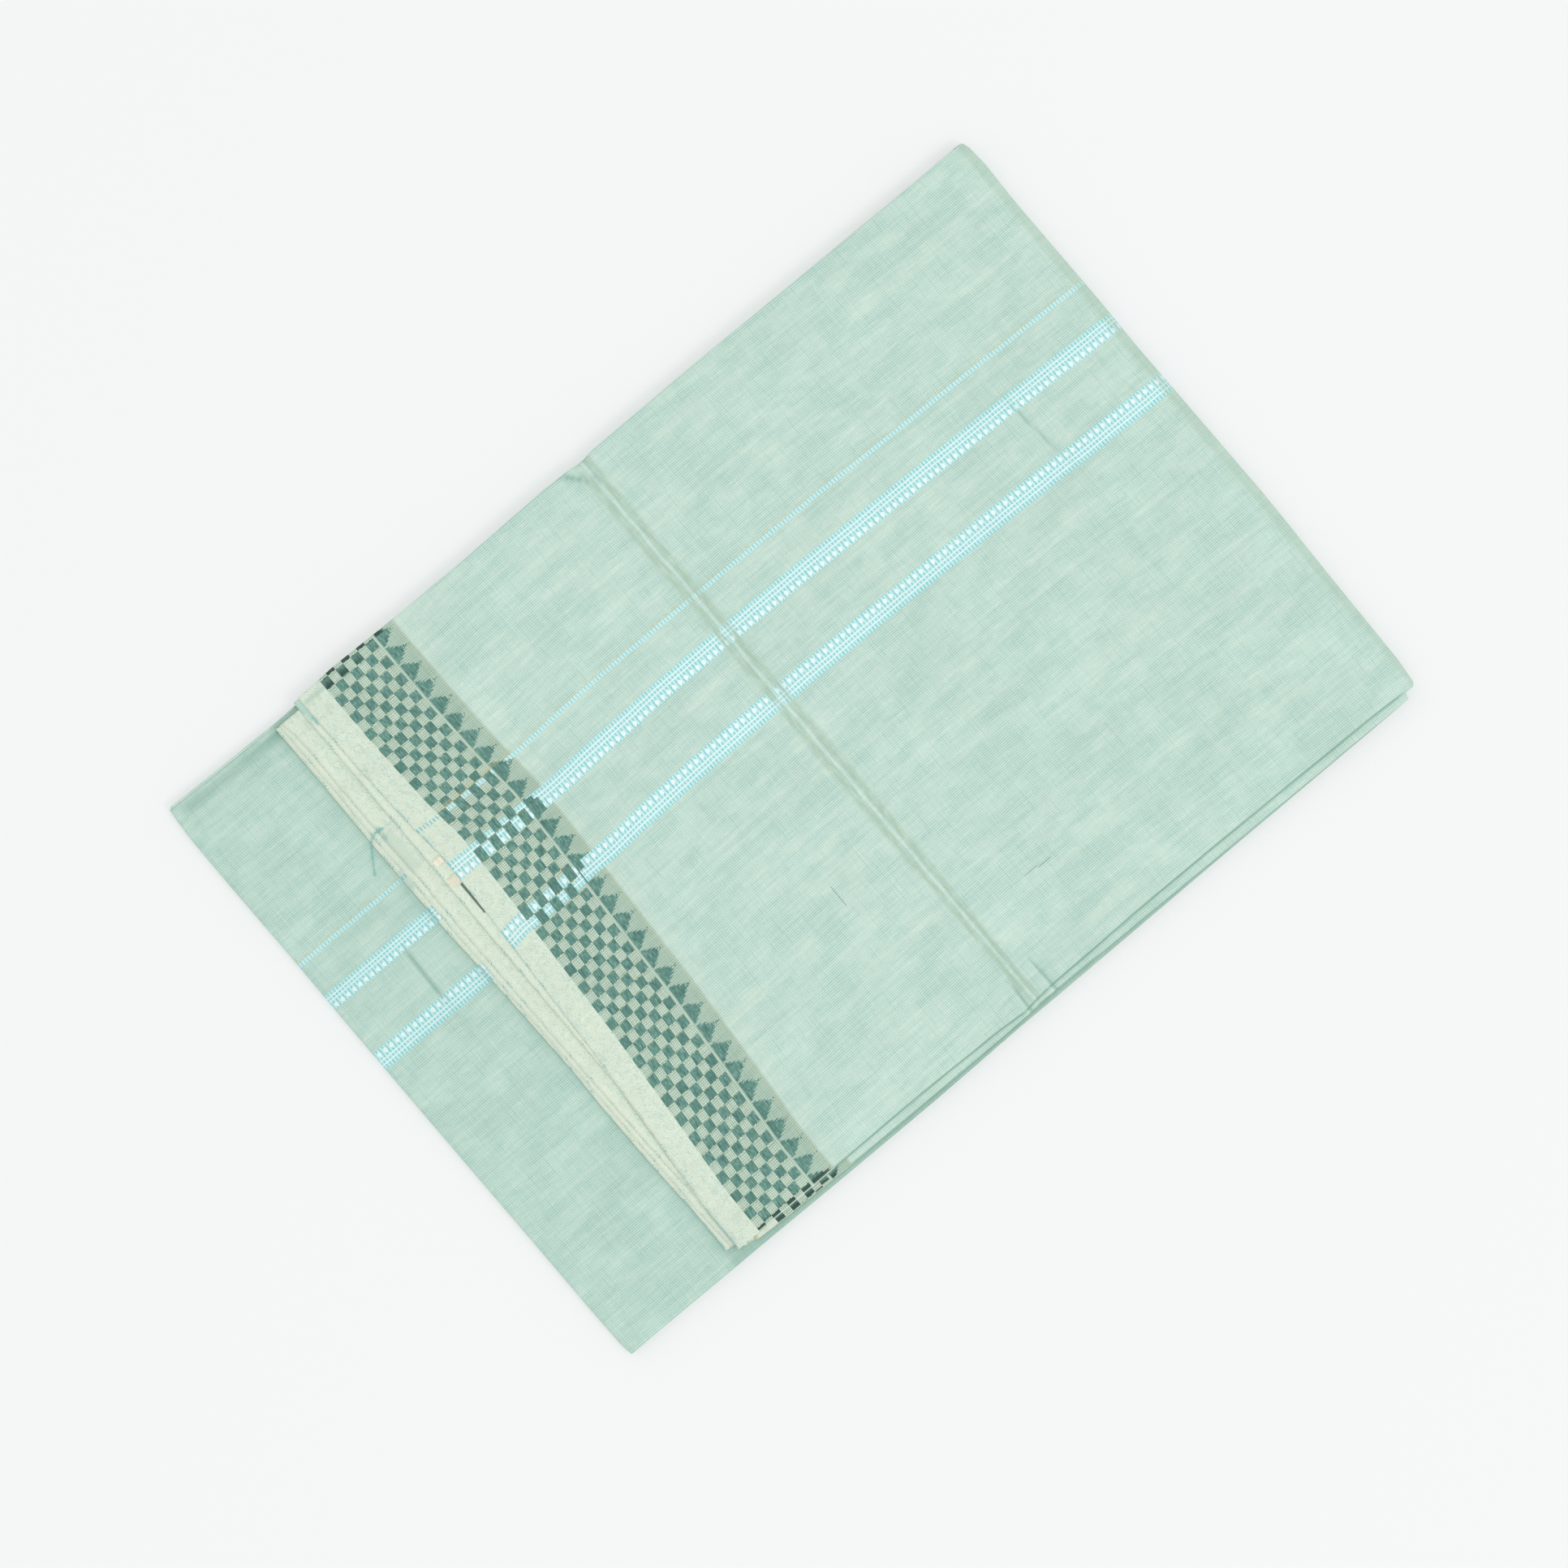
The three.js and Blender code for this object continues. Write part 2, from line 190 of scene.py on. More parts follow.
# The sixth ply was folded a little lower and tighter: its place along the warp, and the pattern's.
SIXTH_PLY = table(
    "warp pattern",
    (-160, -154.8), (7.2, 12.4), (16.7, 22.4), (41.2, 48.5), (49.4, 58.2), (66, 76.1),
    (160, 170.1),
)
print("tables:", len(LONG_EDGES), "long,", len(CROSS_EDGES), "cross,", len(WEFT_BOW), "bow")


# %% [markdown]
# ## Creases
# A cloth that was folded another way before keeps soft ridges and troughs where it was creased.
# They are given one by one: each is a line with a place, a reach and a height, that is strongest
# in the middle. The plies under it follow with less and less, so no ply comes through another.

# %% Creases as lines with a soft profile
# The tint column is painted shade in a crease's trough, and below 0 painted highlight on a ridge.
CREASES = table(
    "leaf x0 y0 x1 y1 reach height tint",
    ("top", 5.4, 156, 7.2, -156, 1.6, 0.36, 0),  # the middle crease: two ridges and a valley
    ("top", 9.1, 156, 9.3, -156, 0.8, -0.34, 0),
    ("top", 12.8, 156, 11.6, -156, 1.6, 0.36, 0),
    ("top", -3.6, 157, 3.4, 149, 1, -0.80, 0.9),  # puckers at the rim beside it
    ("top", 1, 158, 8, 150, 1.5, 0.50, -0.5),
    ("top", 10.4, 157, 9.6, 146, 1, -0.50, 0.5),
    ("top", 18.9, -152, 18.4, -140, 0.8, -0.60, 0.9),  # a short fold and puckers at the front
    ("top", 16.9, -152, 17, -141, 1.2, 0.45, -0.4),
    ("top", 4.6, -152, 5.2, -143, 0.8, -0.50, 0.8),
    ("top", 2.8, -152, 3.2, -144, 1, 0.36, -0.3),
    ("top", 8, -152, 8.6, -145, 0.9, 0.36, -0.2),
    ("top", 166.8, 52, 168.8, 30, 0.9, -0.34, 0.6),  # a light crease on the right
    ("top", 165, 60, 167.2, 28, 1.1, 0.22, -0.2),
    ("top", 171, 20, 170, -60, 1.6, 0.10, 0.1),
    ("top", 186, -30, 190, 8, 3.2, -0.16, 0.1),
    ("top", -84, 40, -78, -40, 5, -0.14, 0),
    ("middle", -185.8, 38, -186.4, 20, 1.1, -0.34, 0.9),  # and on the strip on the left
    ("middle", -187.6, 40, -188, 18, 1.1, 0.20, -0.2),
    ("middle", -186, 18, -187, -60, 1.8, 0.08, 0.1),
    ("middle", -216, 149.6, -166, 148.6, 2.2, -0.28, 0.62),
    ("middle", -222, 142.4, -166, 141.6, 3.4, 0.05, 0.14),
    ("middle", -196, 149, -166, 149.8, 0.8, -0.06, 0.3),
    ("bottom", 9.5, 150, 8.5, -150, 3, -0.34, 0.5),  # the underside
    ("bottom", 150, 120, 146, -60, 1.6, -0.20, 0.4),
    ("bottom", -120, 60, -118, -120, 1.6, -0.20, 0.4),
)
# How much of a crease each ply takes, counted from the side that shows. With the deepest trough
# this just fits the 0.1 mm of air between two plies and the 0.3 mm between two leaves.
FOLLOW = [1.0, 0.88, 0.76, 0.64, 0.52, 0.40]
DEEPEST = -0.7
CREASE_FADE = 8.0  # a crease dies out over this length at its two ends
SELVEDGE_SHADOW, SELVEDGE_SHADOW_REACH = 0.55, 2.2  # painted shadow on the strip where the selvedges lie over it, and how far it reaches


def crease_here(leaf, x, y):
    """How far the showing side of a leaf stands out here, and its painted shade (below 0: painted
    highlight).
    """
    height = tint = 0.0
    for crease in CREASES:
        reach, x0, x1 = crease["reach"], crease["x0"], crease["x1"]
        if crease["leaf"] != leaf or not min(x0, x1) - 3 * reach < x < max(x0, x1) + 3 * reach:
            continue
        along = Vector((x1 - x0, crease["y1"] - crease["y0"]))
        length = along.length
        step = Vector((x - x0, y - crease["y0"]))
        travelled = step.dot(along) / length
        across = (step.x * along.y - step.y * along.x) / length
        outside = max(0.0, -travelled, travelled - length)
        share = max(0.0, 1 - outside / CREASE_FADE) * math.exp(-((across / reach) ** 2))
        height += crease["height"] * share
        tint += crease["tint"] * share
    return height, tint


LEAF_SEEDS = {"top": 3.0, "middle": 11.0, "bottom": 19.0}
SLOW_HEIGHT, QUICK_HEIGHT = 0.09, 0.03


def loosening(leaf, x, y):
    """The slow unevenness of pressed cotton, never enough to bring two plies together."""
    slow = noise.noise(Vector((x / 46, y / 62, LEAF_SEEDS[leaf])))
    quick = noise.noise(Vector((x / 17, y / 11, LEAF_SEEDS[leaf] + 5)))
    return SLOW_HEIGHT * slow + QUICK_HEIGHT * quick


print("creases laid by hand:", len(CREASES))


# %% [markdown]
# ## The path of a thread
# Each column of points is a station on the shared path. Where the cloth shows, stations are a
# couple of millimetres apart, so that a crease is a real shape. Where it is hidden, they are far
# apart and cost little.

# %% Stations along the path
def spread(part, start, *stretches):
    """Stations of one part. A stretch is where it ends, and how far apart its points are."""
    first, places = start, []
    for end, step in stretches:
        count = max(1, round(abs(end - start) / step))
        places += [start + (end - start) * i / count for i in range(count)]
        start = end
    return [(part, (place - first) / (start - first)) for place in places]


SELVEDGE_STEPS, FOLD_STEPS = 9, 10
STATIONS = [
    *spread("selvedge", 0, (1, 1 / SELVEDGE_STEPS)),
    *spread("top", SELVEDGE_END, (0, 2.6), (20, 0.8), (160, 2.8), (176, 1.2), (216, 2.8),
            (218.8, 1.4), (219.6, 0.4), (PLUS_FOLD_FACE, 1.7)),
    *spread("plus_fold", 0, (1, 1 / FOLD_STEPS)),
    *spread("middle", 0, (0.03, 0.0075), (0.79, 0.06), (0.86, 0.0058), (0.887, 0.0023),
            (0.905, 0.0058), (0.925, 0.0022), (1, 0.0058)),
    *spread("minus_fold", 0, (1, 1 / FOLD_STEPS)),
    *spread("bottom", 0, (1, 0.0108)), ("bottom", 1.0),
]
print("stations along the path:", len(STATIONS))


def mix(low, high, share):
    return low + (high - low) * share


def smooth(share):
    share = min(1.0, max(0.0, share))
    return share * share * (3 - 2 * share)


def upper_share(depth):
    """0 for the three lower plies, 1 for the three upper ones."""
    return smooth((depth + PLY_PITCH / 2) / PLY_PITCH)


def plus_centre(depth):
    return mix(PLUS_FOLD_UNDER, PLUS_FOLD_FACE, upper_share(depth))


def selvedge_b(depth):
    return mix(SELVEDGE_B_UNDER, SELVEDGE_B_FACE, upper_share(depth))


def fade(distance):
    return max(0.0, 1 - distance / STRAY_REACH)


def turn(x, upper, lower, share, side):
    """A half circle from one leaf to the next, out to the given side."""
    nx, nz = math.sin(math.pi * share), math.cos(math.pi * share)
    return x + side * FOLD_TURN * nx, (upper + lower) / 2 + FOLD_TURN * nz, nx, side * nz, "fold"


def on_path(station, ply, depth, y):
    """Place (x, z), outward normal (x, z) and leaf of one station, before creases."""
    part, share = station
    centre = plus_centre(depth)
    plus = read(CROSS_EDGES, "y", "plus_fold", y)
    minus = read(CROSS_EDGES, "y", "minus_fold", y)
    if part == "selvedge":
        x = mix(read(CROSS_EDGES, "y", SELVEDGE_COLUMNS[ply], y), SELVEDGE_END, share)
        return x, TOP_LEAF, 0, 1, "top"
    if part == "top":
        x = mix(SELVEDGE_END, centre, share)
        return x + plus * fade(centre - x), TOP_LEAF, 0, 1, "top"
    if part == "plus_fold":
        return turn(centre + plus, TOP_LEAF, MIDDLE_LEAF, share, 1)
    if part == "middle":
        x = mix(centre, MINUS_FOLD, share)
        stray = plus * fade(centre - x) + minus * fade(x - MINUS_FOLD)
        return x + stray, MIDDLE_LEAF, 0, -1, "middle"
    if part == "minus_fold":
        return turn(MINUS_FOLD + minus, MIDDLE_LEAF, BOTTOM_LEAF, share, -1)
    x = mix(MINUS_FOLD, selvedge_b(depth), share)
    return x + minus * fade(x - MINUS_FOLD), BOTTOM_LEAF, 0, 1, "bottom"


def past_fold(station):
    """0 on the top leaf, 1 on the two lower ones, and in between on the way round the fold."""
    part, share = station
    if part in ("selvedge", "top"):
        return 0.0
    return smooth(share) if part == "plus_fold" else 1.0


def long_edge(station, x, top_column, lower_column):
    """A long edge along the path: the top leaf has one column of the table, the others another."""
    top, lower = (read(LONG_EDGES, "x", column, x) for column in (top_column, lower_column))
    return mix(top, lower, past_fold(station))


# %% [markdown]
# ## The rows of a ply
# Rows run from the ends at -Y to the half fold at +Y. There the three upper plies go round in
# half circles and meet the three lower ones, so one ply carries the rim and the other stops at
# it, point on point. At -Y the first two plies turn into each other, and so do the fourth and
# fifth, while the third and the sixth are the loose ends of the cloth.

# %% Rows across a ply
RIM_STEPS, HAIRPIN_STEPS = 8, 4
HAIRPIN = PLY_PITCH / 2
RIM_OUTSIDE = DEPTHS[0] + PLY_THICKNESS / 2
FRONT_EDGES = ["fold", "fold", "loose", "under", "under", "under"]
LOWER_SHIFT = [3.2, 3.2, 0.6, 0.6, 0.6, 0.0]  # how far the ends of the lower leaves stand back
OPEN_CORNER = 151.2  # the three lower plies end here past the face ply's selvedge
EDGE_SHARES = [0, 0.004, 0.009, 0.016]  # rows lie closer at the two ends of a ply
FLAT_FROM, FLAT_TO = 0.024, 0.976
HANG_FROM, HANG_OVER, HANG_SINK = 214, 6, 0.35


def front_of(station, ply, x):
    edge = long_edge(station, x, FRONT_EDGES[ply], "lower")
    return edge + LOWER_SHIFT[ply] * past_fold(station)


def rim_of(station, x):
    return long_edge(station, x, "top_rim", "lower_rim") - RIM_OUTSIDE


def row_plan(ply, count):
    """Each row as (share of the flat length, hairpin angle or None, rim angle or None)."""
    rows = []
    if ply in (0, 4):  # these two plies carry the turn at -Y
        rows += [(0.0, math.pi * (1 - i / HAIRPIN_STEPS), None) for i in range(HAIRPIN_STEPS)]
    flat = EDGE_SHARES + [mix(FLAT_FROM, FLAT_TO, i / count) for i in range(count + 1)]
    flat += [1 - share for share in reversed(EDGE_SHARES)]
    rows += [(share, None, None) for share in flat]
    if ply < 3:
        rows += [(1.0, None, math.pi * (i + 1) / RIM_STEPS) for i in range(RIM_STEPS)]
    return rows


def point_of(station, row, ply):
    """The point of a ply in millimetres, how far along the warp it is, and the inputs of its
    painted shade.
    """
    share, hairpin, rim = row
    depth = DEPTHS[ply]
    x_guess = on_path(station, ply, depth, 0)[0]
    front = front_of(station, ply, x_guess) + PLY_THICKNESS / 2
    back = rim_of(station, x_guess)
    if ply >= 3 and station[0] == "selvedge":
        back = mix(OPEN_CORNER, back, smooth((station[1] - 0.45) / 0.35))
    if ply in (0, 1, 3, 4):
        front += HAIRPIN  # the turn itself takes this much of the length
    y = mix(front, back, share)
    warp = y
    if hairpin is not None:
        y = front - HAIRPIN * math.sin(hairpin)
        depth += (HAIRPIN if ply == 4 else -HAIRPIN) * (1 - math.cos(hairpin))
        warp = front - HAIRPIN * hairpin
    if rim is not None:
        y = back + depth * math.sin(rim)
        warp = back + depth * rim
        depth *= math.cos(rim)
    x, z, nx, nz, leaf = on_path(station, ply, depth, y)
    lift = rubbed = 0.0
    if leaf != "fold":
        # The side that shows is the face side of the top leaf, and the under side of the others.
        level = (DEPTHS[0] - depth if leaf == "top" else depth - DEPTHS[-1]) / PLY_PITCH
        low = min(PLIES - 2, int(level))
        follow = mix(FOLLOW[low], FOLLOW[low + 1], min(1.0, level - low))
        # The crease's tint: painted shade in a trough, painted highlight on a ridge.
        height, rubbed = crease_here(leaf, x, y)
        height = max(DEEPEST, height + loosening(leaf, x, y))
        if leaf == "bottom":
            height = min(0.0, height)  # it can't go through the table
        if leaf == "middle":
            past = read(CROSS_EDGES, "y", "sixth", y) - x  # out from under the top leaf
            # Painted shadow on the strip, strongest at the selvedges of the top leaf.
            rubbed += SELVEDGE_SHADOW * math.exp(-max(0.0, past) / SELVEDGE_SHADOW_REACH)
        lift = follow * height * (1 if leaf == "top" else -1)
        lift -= sink_at_fold(leaf, x, depth)
    out = depth + lift
    place = Vector((x + nx * out, y, z + nz * out))
    return {"place": place, "warp": warp, "rubbed": rubbed,
            "from_front": y - front, "from_rim": back + RIM_OUTSIDE - y}


def sink_at_fold(leaf, x, depth):
    """Near the right-hand fold the face plies hang over the shorter plies, and sink a little."""
    if leaf != "top":
        return 0.0
    return HANG_SINK * smooth((x - HANG_FROM) / HANG_OVER) * upper_share(depth)


# %% [markdown]
# ## From grid to cloth
# A ply is a bmesh grid, one square for each station and row, whose points are moved to their
# places on the fold. Its UV map keeps the cloth flat: U is the distance from selvedge A and V is
# the place along the warp, both in metres, so a woven pattern can't stretch or slide. Solidify
# then gives it the thickness of one layer of cotton.

# %% Make one ply
SETTLE_STATIONS = 60  # from here on every row has the same distance from the selvedge
# What a finish's painted light and shade reads: the crease tint and the distances from the two
# long edges.
SHADE_INPUTS = ("rubbed", "from_front", "from_rim")


def stripe_line(ply, point):
    """V of the pattern: the place along the warp, less the bow of the weft."""
    if ply == 5:
        return read(SIXTH_PLY, "warp", "pattern", point["warp"])
    x, warp = point["place"].x, point["warp"]
    bows = [{"level": level, "bow": read(WEFT_BOW, "x", name, x)} for level, name in BOW_LEVELS]
    return warp - read(bows, "level", "bow", warp)


def from_selvedge(places):
    """U of the points: the distance from selvedge A, measured along the middle row."""
    middle = [column[len(column) // 2]["place"] for column in places]
    travelled = [0.0]
    for before, after in zip(middle, middle[1:]):
        travelled.append(travelled[-1] + (after - before).length)
    slack = CLOTH_WIDTH - travelled[-1]
    parts = [part for part, _ in STATIONS]
    first_top, first_bottom, last = parts.index("top"), parts.index("bottom"), len(parts) - 1

    def across(i, j):
        if parts[i] in ("selvedge", "top"):  # the border follows its own selvedge
            own = places[i][j]["place"].x - places[0][j]["place"].x
            return mix(own, travelled[i], smooth((i - first_top) / SETTLE_STATIONS))
        return travelled[i] + slack * max(0.0, (i - first_bottom) / (last - first_bottom))

    return across, travelled[-1]


def put(name, mesh, material=None):
    """A bmesh as an object of the scene."""
    data = bpy.data.meshes.new(name)
    mesh.to_mesh(data)
    mesh.free()
    if material:
        data.materials.append(material)
    return link(name, data)


def lay_ply(name, ply, rows_across):
    rows = row_plan(ply, rows_across)
    places = [[point_of(station, row, ply) for row in rows] for station in STATIONS]
    across, width = from_selvedge(places)
    columns, steps = len(STATIONS) - 1, len(rows) - 1
    mesh = bmesh.new()
    bmesh.ops.create_grid(mesh, x_segments=columns, y_segments=steps, size=0.5)
    uv = mesh.loops.layers.uv.new("cloth")
    shading = {key: mesh.verts.layers.float.new(key) for key in SHADE_INPUTS}
    flat_place = {}
    for vert in mesh.verts:
        i, j = round((vert.co.x + 0.5) * columns), round((vert.co.y + 0.5) * steps)
        point = places[i][j]
        vert.co = point["place"] * MM
        for key, layer in shading.items():
            vert[layer] = point[key]
        flat_place[vert] = (across(i, j) * MM, stripe_line(ply, point) * MM)
    for face in mesh.faces:
        face.smooth = True
        for loop in face.loops:
            loop[uv].uv = flat_place[loop.vert]
    cloth = put(name, mesh)
    wall = cloth.modifiers.new("thickness", "SOLIDIFY")
    wall.thickness = PLY_THICKNESS * MM
    wall.offset = 0
    print(name, "faces:", len(cloth.data.polygons), "width along the cloth:", round(width, 1))
    return cloth


# %% Lay the six plies
FINE_ROWS, HIDDEN_ROWS = 118, 34
ply_names = [
    "ply_1_face", "ply_2_inside_face", "ply_3_loose_end", "ply_4_inside_under",
    "ply_5_inside_under", "ply_6_under",
]
plies = [
    lay_ply(name, ply, FINE_ROWS if ply in (0, 5) else HIDDEN_ROWS)
    for ply, name in enumerate(ply_names)
]


# %% [markdown]
# ## Shader maths as sums
# A woven pattern is arithmetic on two distances: how far a thread is from the selvedge and how
# far along the warp. This class wraps a socket, so that the arithmetic is written as plain
# Python and each sum adds its Math node.

# %% A socket that can be added and compared
class Number:
    def __init__(self, finish, socket):
        self.finish, self.socket = finish, socket

    def maths(self, operation, *others, first=None):
        values = [self] if first is None else [first, self]
        values += others
        sockets = dict(enumerate(values))
        return Number(self.finish, self.finish.node(
            "ShaderNodeMath", {"operation": operation}, sockets).outputs[0])

    def __add__(self, other): return self.maths("ADD", other)
    def __radd__(self, other): return self.maths("ADD", other)
    def __sub__(self, other): return self.maths("SUBTRACT", other)
    def __rsub__(self, other): return self.maths("SUBTRACT", first=other)
    def __mul__(self, other): return self.maths("MULTIPLY", other)
    def __rmul__(self, other): return self.maths("MULTIPLY", other)
    def __truediv__(self, other): return self.maths("DIVIDE", other)
    def __mod__(self, other): return self.maths("FLOORED_MODULO", other)
    def __lt__(self, other): return self.maths("LESS_THAN", other)
    def __gt__(self, other): return self.maths("GREATER_THAN", other)
    def __abs__(self): return self.maths("ABSOLUTE")
    def floor(self): return self.maths("FLOOR")
    def least(self, other): return self.maths("MINIMUM", other)
    def most(self, other): return self.maths("MAXIMUM", other)
    def wave(self, period): return (self * (2 * math.pi / period)).maths("SINE")

    def between(self, low, high):
        return (self > low) * (self < high)

    def eased(self, low, high):
        """0 below low, 1 above high, and smooth between them."""
        return Number(self.finish, self.finish.node(
            "ShaderNodeMapRange", {"interpolation_type": "SMOOTHSTEP"},
            {"Value": self, "From Min": low, "From Max": high}).outputs[0])


# %% A finish: one material and its nodes
def paint(red, green, blue):
    """A colour as it looks, in 0-255, as the share of light that the surface reflects."""
    return (*(((c / 255 + 0.055) / 1.055) ** 2.4 for c in (red, green, blue)), 1.0)


class Finish:
    def __init__(self, name):
        self.material = bpy.data.materials.new(name)
        self.material.use_nodes = True
        self.tree = self.material.node_tree
        self.tree.nodes.clear()

    def node(self, kind, settings=None, sockets=None):
        made = self.tree.nodes.new(kind)
        for key, value in (settings or {}).items():
            if key == "stops":
                ramp = made.color_ramp
                ramp.interpolation = "LINEAR"
                while len(ramp.elements) < len(value):
                    ramp.elements.new(0.5)
                for element, (place, level) in zip(ramp.elements, value):
                    element.position = place
                    element.color = (level, level, level, 1)
            else:
                setattr(made, key, value)
        for key, value in (sockets or {}).items():
            if isinstance(value, Number):
                value = value.socket
            if isinstance(value, bpy.types.NodeSocket):
                self.tree.links.new(value, made.inputs[key])
            else:
                made.inputs[key].default_value = value
        return made

    def colour(self, mask, without, withit):
        """The colour without where the mask is 0, and withit where it is 1."""
        return self.node("ShaderNodeMix", {"data_type": "RGBA"},
                         {0: mask, 6: without, 7: withit}).outputs[2]

    def layers(self, colour, *tints):
        """Tints laid over a colour one after another, each by its own mask."""
        for mask, tint in tints:
            colour = self.colour(mask, colour, tint)
        return colour

    def times(self, colour, amount):
        """A colour times a number, or times another colour."""
        return self.node("ShaderNodeVectorMath", {"operation": "MULTIPLY"},
                         {0: colour, 1: amount}).outputs[0]

    def vector(self, x, y, z=0.0):
        return self.node("ShaderNodeCombineXYZ", None, {0: x, 1: y, 2: z}).outputs[0]

    def noise(self, x, y, seed, detail=2.0):
        """Cloudy values around 0.5, of size 1 in x and y."""
        made = self.node("ShaderNodeTexNoise", None, {
            "Vector": self.vector(x, y, seed), "Scale": 1.0, "Detail": detail})
        return Number(self, made.outputs[0])

    def speckle(self, x, y):
        """One random value from 0 to 1 for each pair of whole numbers."""
        made = self.node("ShaderNodeTexWhiteNoise", {"noise_dimensions": "2D"},
                         {"Vector": self.vector(x, y)})
        return Number(self, made.outputs[0])

    def millimetres(self, place, axes):
        """The first axes of a place that is in metres."""
        split = self.node("ShaderNodeSeparateXYZ", None, {0: place})
        return [Number(self, split.outputs[axis]) * 1000 for axis in range(axes)]

    def here(self, axes):
        return self.millimetres(self.node("ShaderNodeTexCoord").outputs["Object"], axes)

    def bump(self, height, strength, distance):
        return self.node("ShaderNodeBump", None, {
            "Strength": strength, "Distance": distance, "Height": height}).outputs[0]

    def surface(self, sockets):
        made = self.node("ShaderNodeBsdfPrincipled", None, sockets)
        self.node("ShaderNodeOutputMaterial", None, {"Surface": made.outputs[0]})
        return self.material


print("shader helpers ready")


# %% [markdown]
# ## The weave
# The ground is plain weave of sea-green cotton. From the selvedge inwards come 12 mm of cream, a
# band of seven columns of dark and light squares, a thin pale line and a row of stepped temple
# points, woven with an extra weft in olive green. The dhoti's end has a thin line and two blue
# stripes with white lines and dots, which run right through the border.
# The rows of squares aren't equal: they are taller where a stripe passes. A ramp turns the place
# along the warp into a row number, with a stop wherever the height of the rows changes.

# %% Sizes of the pattern, in millimetres
CREAM_WIDTH = 12.0
COLUMN = 4.17
COLUMNS_OF_SQUARES = 7
BAND_END = CREAM_WIDTH + COLUMNS_OF_SQUARES * COLUMN
TEMPLE_BASE = BAND_END + 1.4
TEMPLE_STEPS = [  # how far out, half the height there in rows
    (8.9, 0.10), (7.4, 0.18), (6.3, 0.29), (5.3, 0.42), (4.4, 0.54), (3.5, 0.66), (2.5, 0.78),
    (1.5, 0.90),
]
TEMPLE_PICK = 0.55  # every other pick of the extra weft ends further out
TEMPLE_RISE = 0.1  # the points stand this many rows above the middle of a pair of rows
GROUND_END = TEMPLE_BASE + 10.4
WARP_PITCH, WEFT_PITCH = 0.84, 1.0
ROW_STOPS = [  # place along the warp, row number
    (158.7, -1), (153.9, 0), (81.6, 15), (78.1, 16), (70.7, 17), (66.1, 18), (61.2, 19),
    (55.6, 20), (48.6, 21), (44.4, 22), (39.1, 23), (34.6, 24), (29.6, 25), (24.9, 26),
    (17.7, 27), (11.5, 28), (6.5, 29), (-52.5, 41), (-129.3, 56), (-147.9, 60), (-158, 62),
]
FIRST_ROW, LAST_ROW = -1, 62
ROW_SPAN = 160.0  # the ramp reads from +160 to -160


def row_number(finish, along):
    share = (ROW_SPAN - along) / (2 * ROW_SPAN)
    rows = LAST_ROW - FIRST_ROW
    stops = [((ROW_SPAN - place) / (2 * ROW_SPAN), (row - FIRST_ROW) / rows)
             for place, row in ROW_STOPS]
    ramp = finish.node("ShaderNodeValToRGB", {"stops": stops}, {0: share})
    return Number(finish, ramp.outputs[0]) * rows + FIRST_ROW


THIN_LINE = (75.5, 77.5)
STRIPES = [  # the blue ground of each stripe, its white lines and its row of dots
    {"ground": (49.3, 58.2), "lines": ((55.7, 56.3), (53.7, 54.3)), "dots": (49.8, 52.2)},
    {"ground": (12.9, 22.4), "lines": ((17.0, 17.6), (15.0, 15.6)), "dots": (18.9, 21.3)},
]
DOT_PITCH, TICK_PITCH = 3.36, 1.68  # four and two warp threads
DOT_HALF_WIDTH = 0.92
MIDDLE_CREASE = 9.0  # where the olive lines of the middle crease lie
MARK_HEIGHTS = (4.9, 5.15)  # the marks come in between these heights, under the top leaf
POINT_SPARSE_FROM = 6.2  # past this a temple point is only stippled
# The painted shadow line under the front edge fades out over this length.
FRONT_SHADOW_FADE = 10.0
# Where a stripe passes, the temple points are cut square: from, to along the warp, and reach out.
TEMPLE_BLOCKS = [(55.7, 57.8, 4.4), (48.7, 55.7, 6.3), (18.7, 22.4, 3.6), (12.4, 18.7, 0.6)]


# %% Colours of the yarns, as they look
SEA_GREEN = paint(206, 229, 217)
SEA_GREEN_DEEP = paint(186, 217, 209)
MINT = paint(220, 240, 229)
WARM_GREEN = paint(214, 230, 210)
GAP_TEAL = paint(150, 187, 174)
CREAM_YARN = paint(223, 236, 220)
CREAM_SHADE = paint(198, 216, 200)
CREAM_GRAIN = paint(176, 198, 180)
CREAM_WARM = paint(230, 234, 208)
# Painted light along the first millimetres of a selvedge.
CREAM_EDGE_LIT = paint(229, 239, 219)
OLIVE_GROUND = paint(187, 210, 194)
OLIVE_THREAD = paint(128, 158, 138)
TEMPLE_GREEN = paint(96, 139, 128)
TEMPLE_RIB = paint(127, 166, 154)
TEMPLE_SHADE = paint(70, 114, 106)
GOLD_TICK = paint(206, 196, 142)
SKY = paint(200, 241, 240)
SKY_DEEP = paint(130, 205, 209)
WHITE_YARN = paint(236, 249, 249)
TEAL_SPECK = paint(122, 186, 186)
# Painted shade of creases, of the fold at the right and of the trough by the rim.
OLIVE_SHADE = paint(173, 198, 178)
DARK_FLECK = paint(90, 120, 110)
# The colour of a dark slub, also used as painted shade at folds and painted shadow in gaps.
DARK_SLUB_AND_SHADE = paint(40, 62, 54)
# Painted shadow line under a ply's front edge.
GAP_SHADOW_GREEN = paint(128, 170, 148)
# Painted shade in crease troughs and on the strip beside the selvedges.
CREASE_SHADE_GREEN = paint(134, 174, 158)
WEDGE_GREEN = paint(178, 213, 200)
PEACH = paint(250, 249, 231)
PEACH_DEEP = paint(244, 240, 219)
TEAL_YARN = paint(176, 222, 216)
TEAL_YARN_DEEP = paint(126, 192, 190)
STRIP_TINT = (0.76, 0.85, 0.83)  # the sixth ply has taken some more of the dye
print("yarn colours ready")


# %% [markdown]
# ## The weave, layer by layer
# The material is built as the weaver builds the cloth: first the ground, and then each other
# yarn laid over it with a mask. The places and the unevenness that all the layers share are
# worked out once, in a kind of finish that knows its place on the loom.

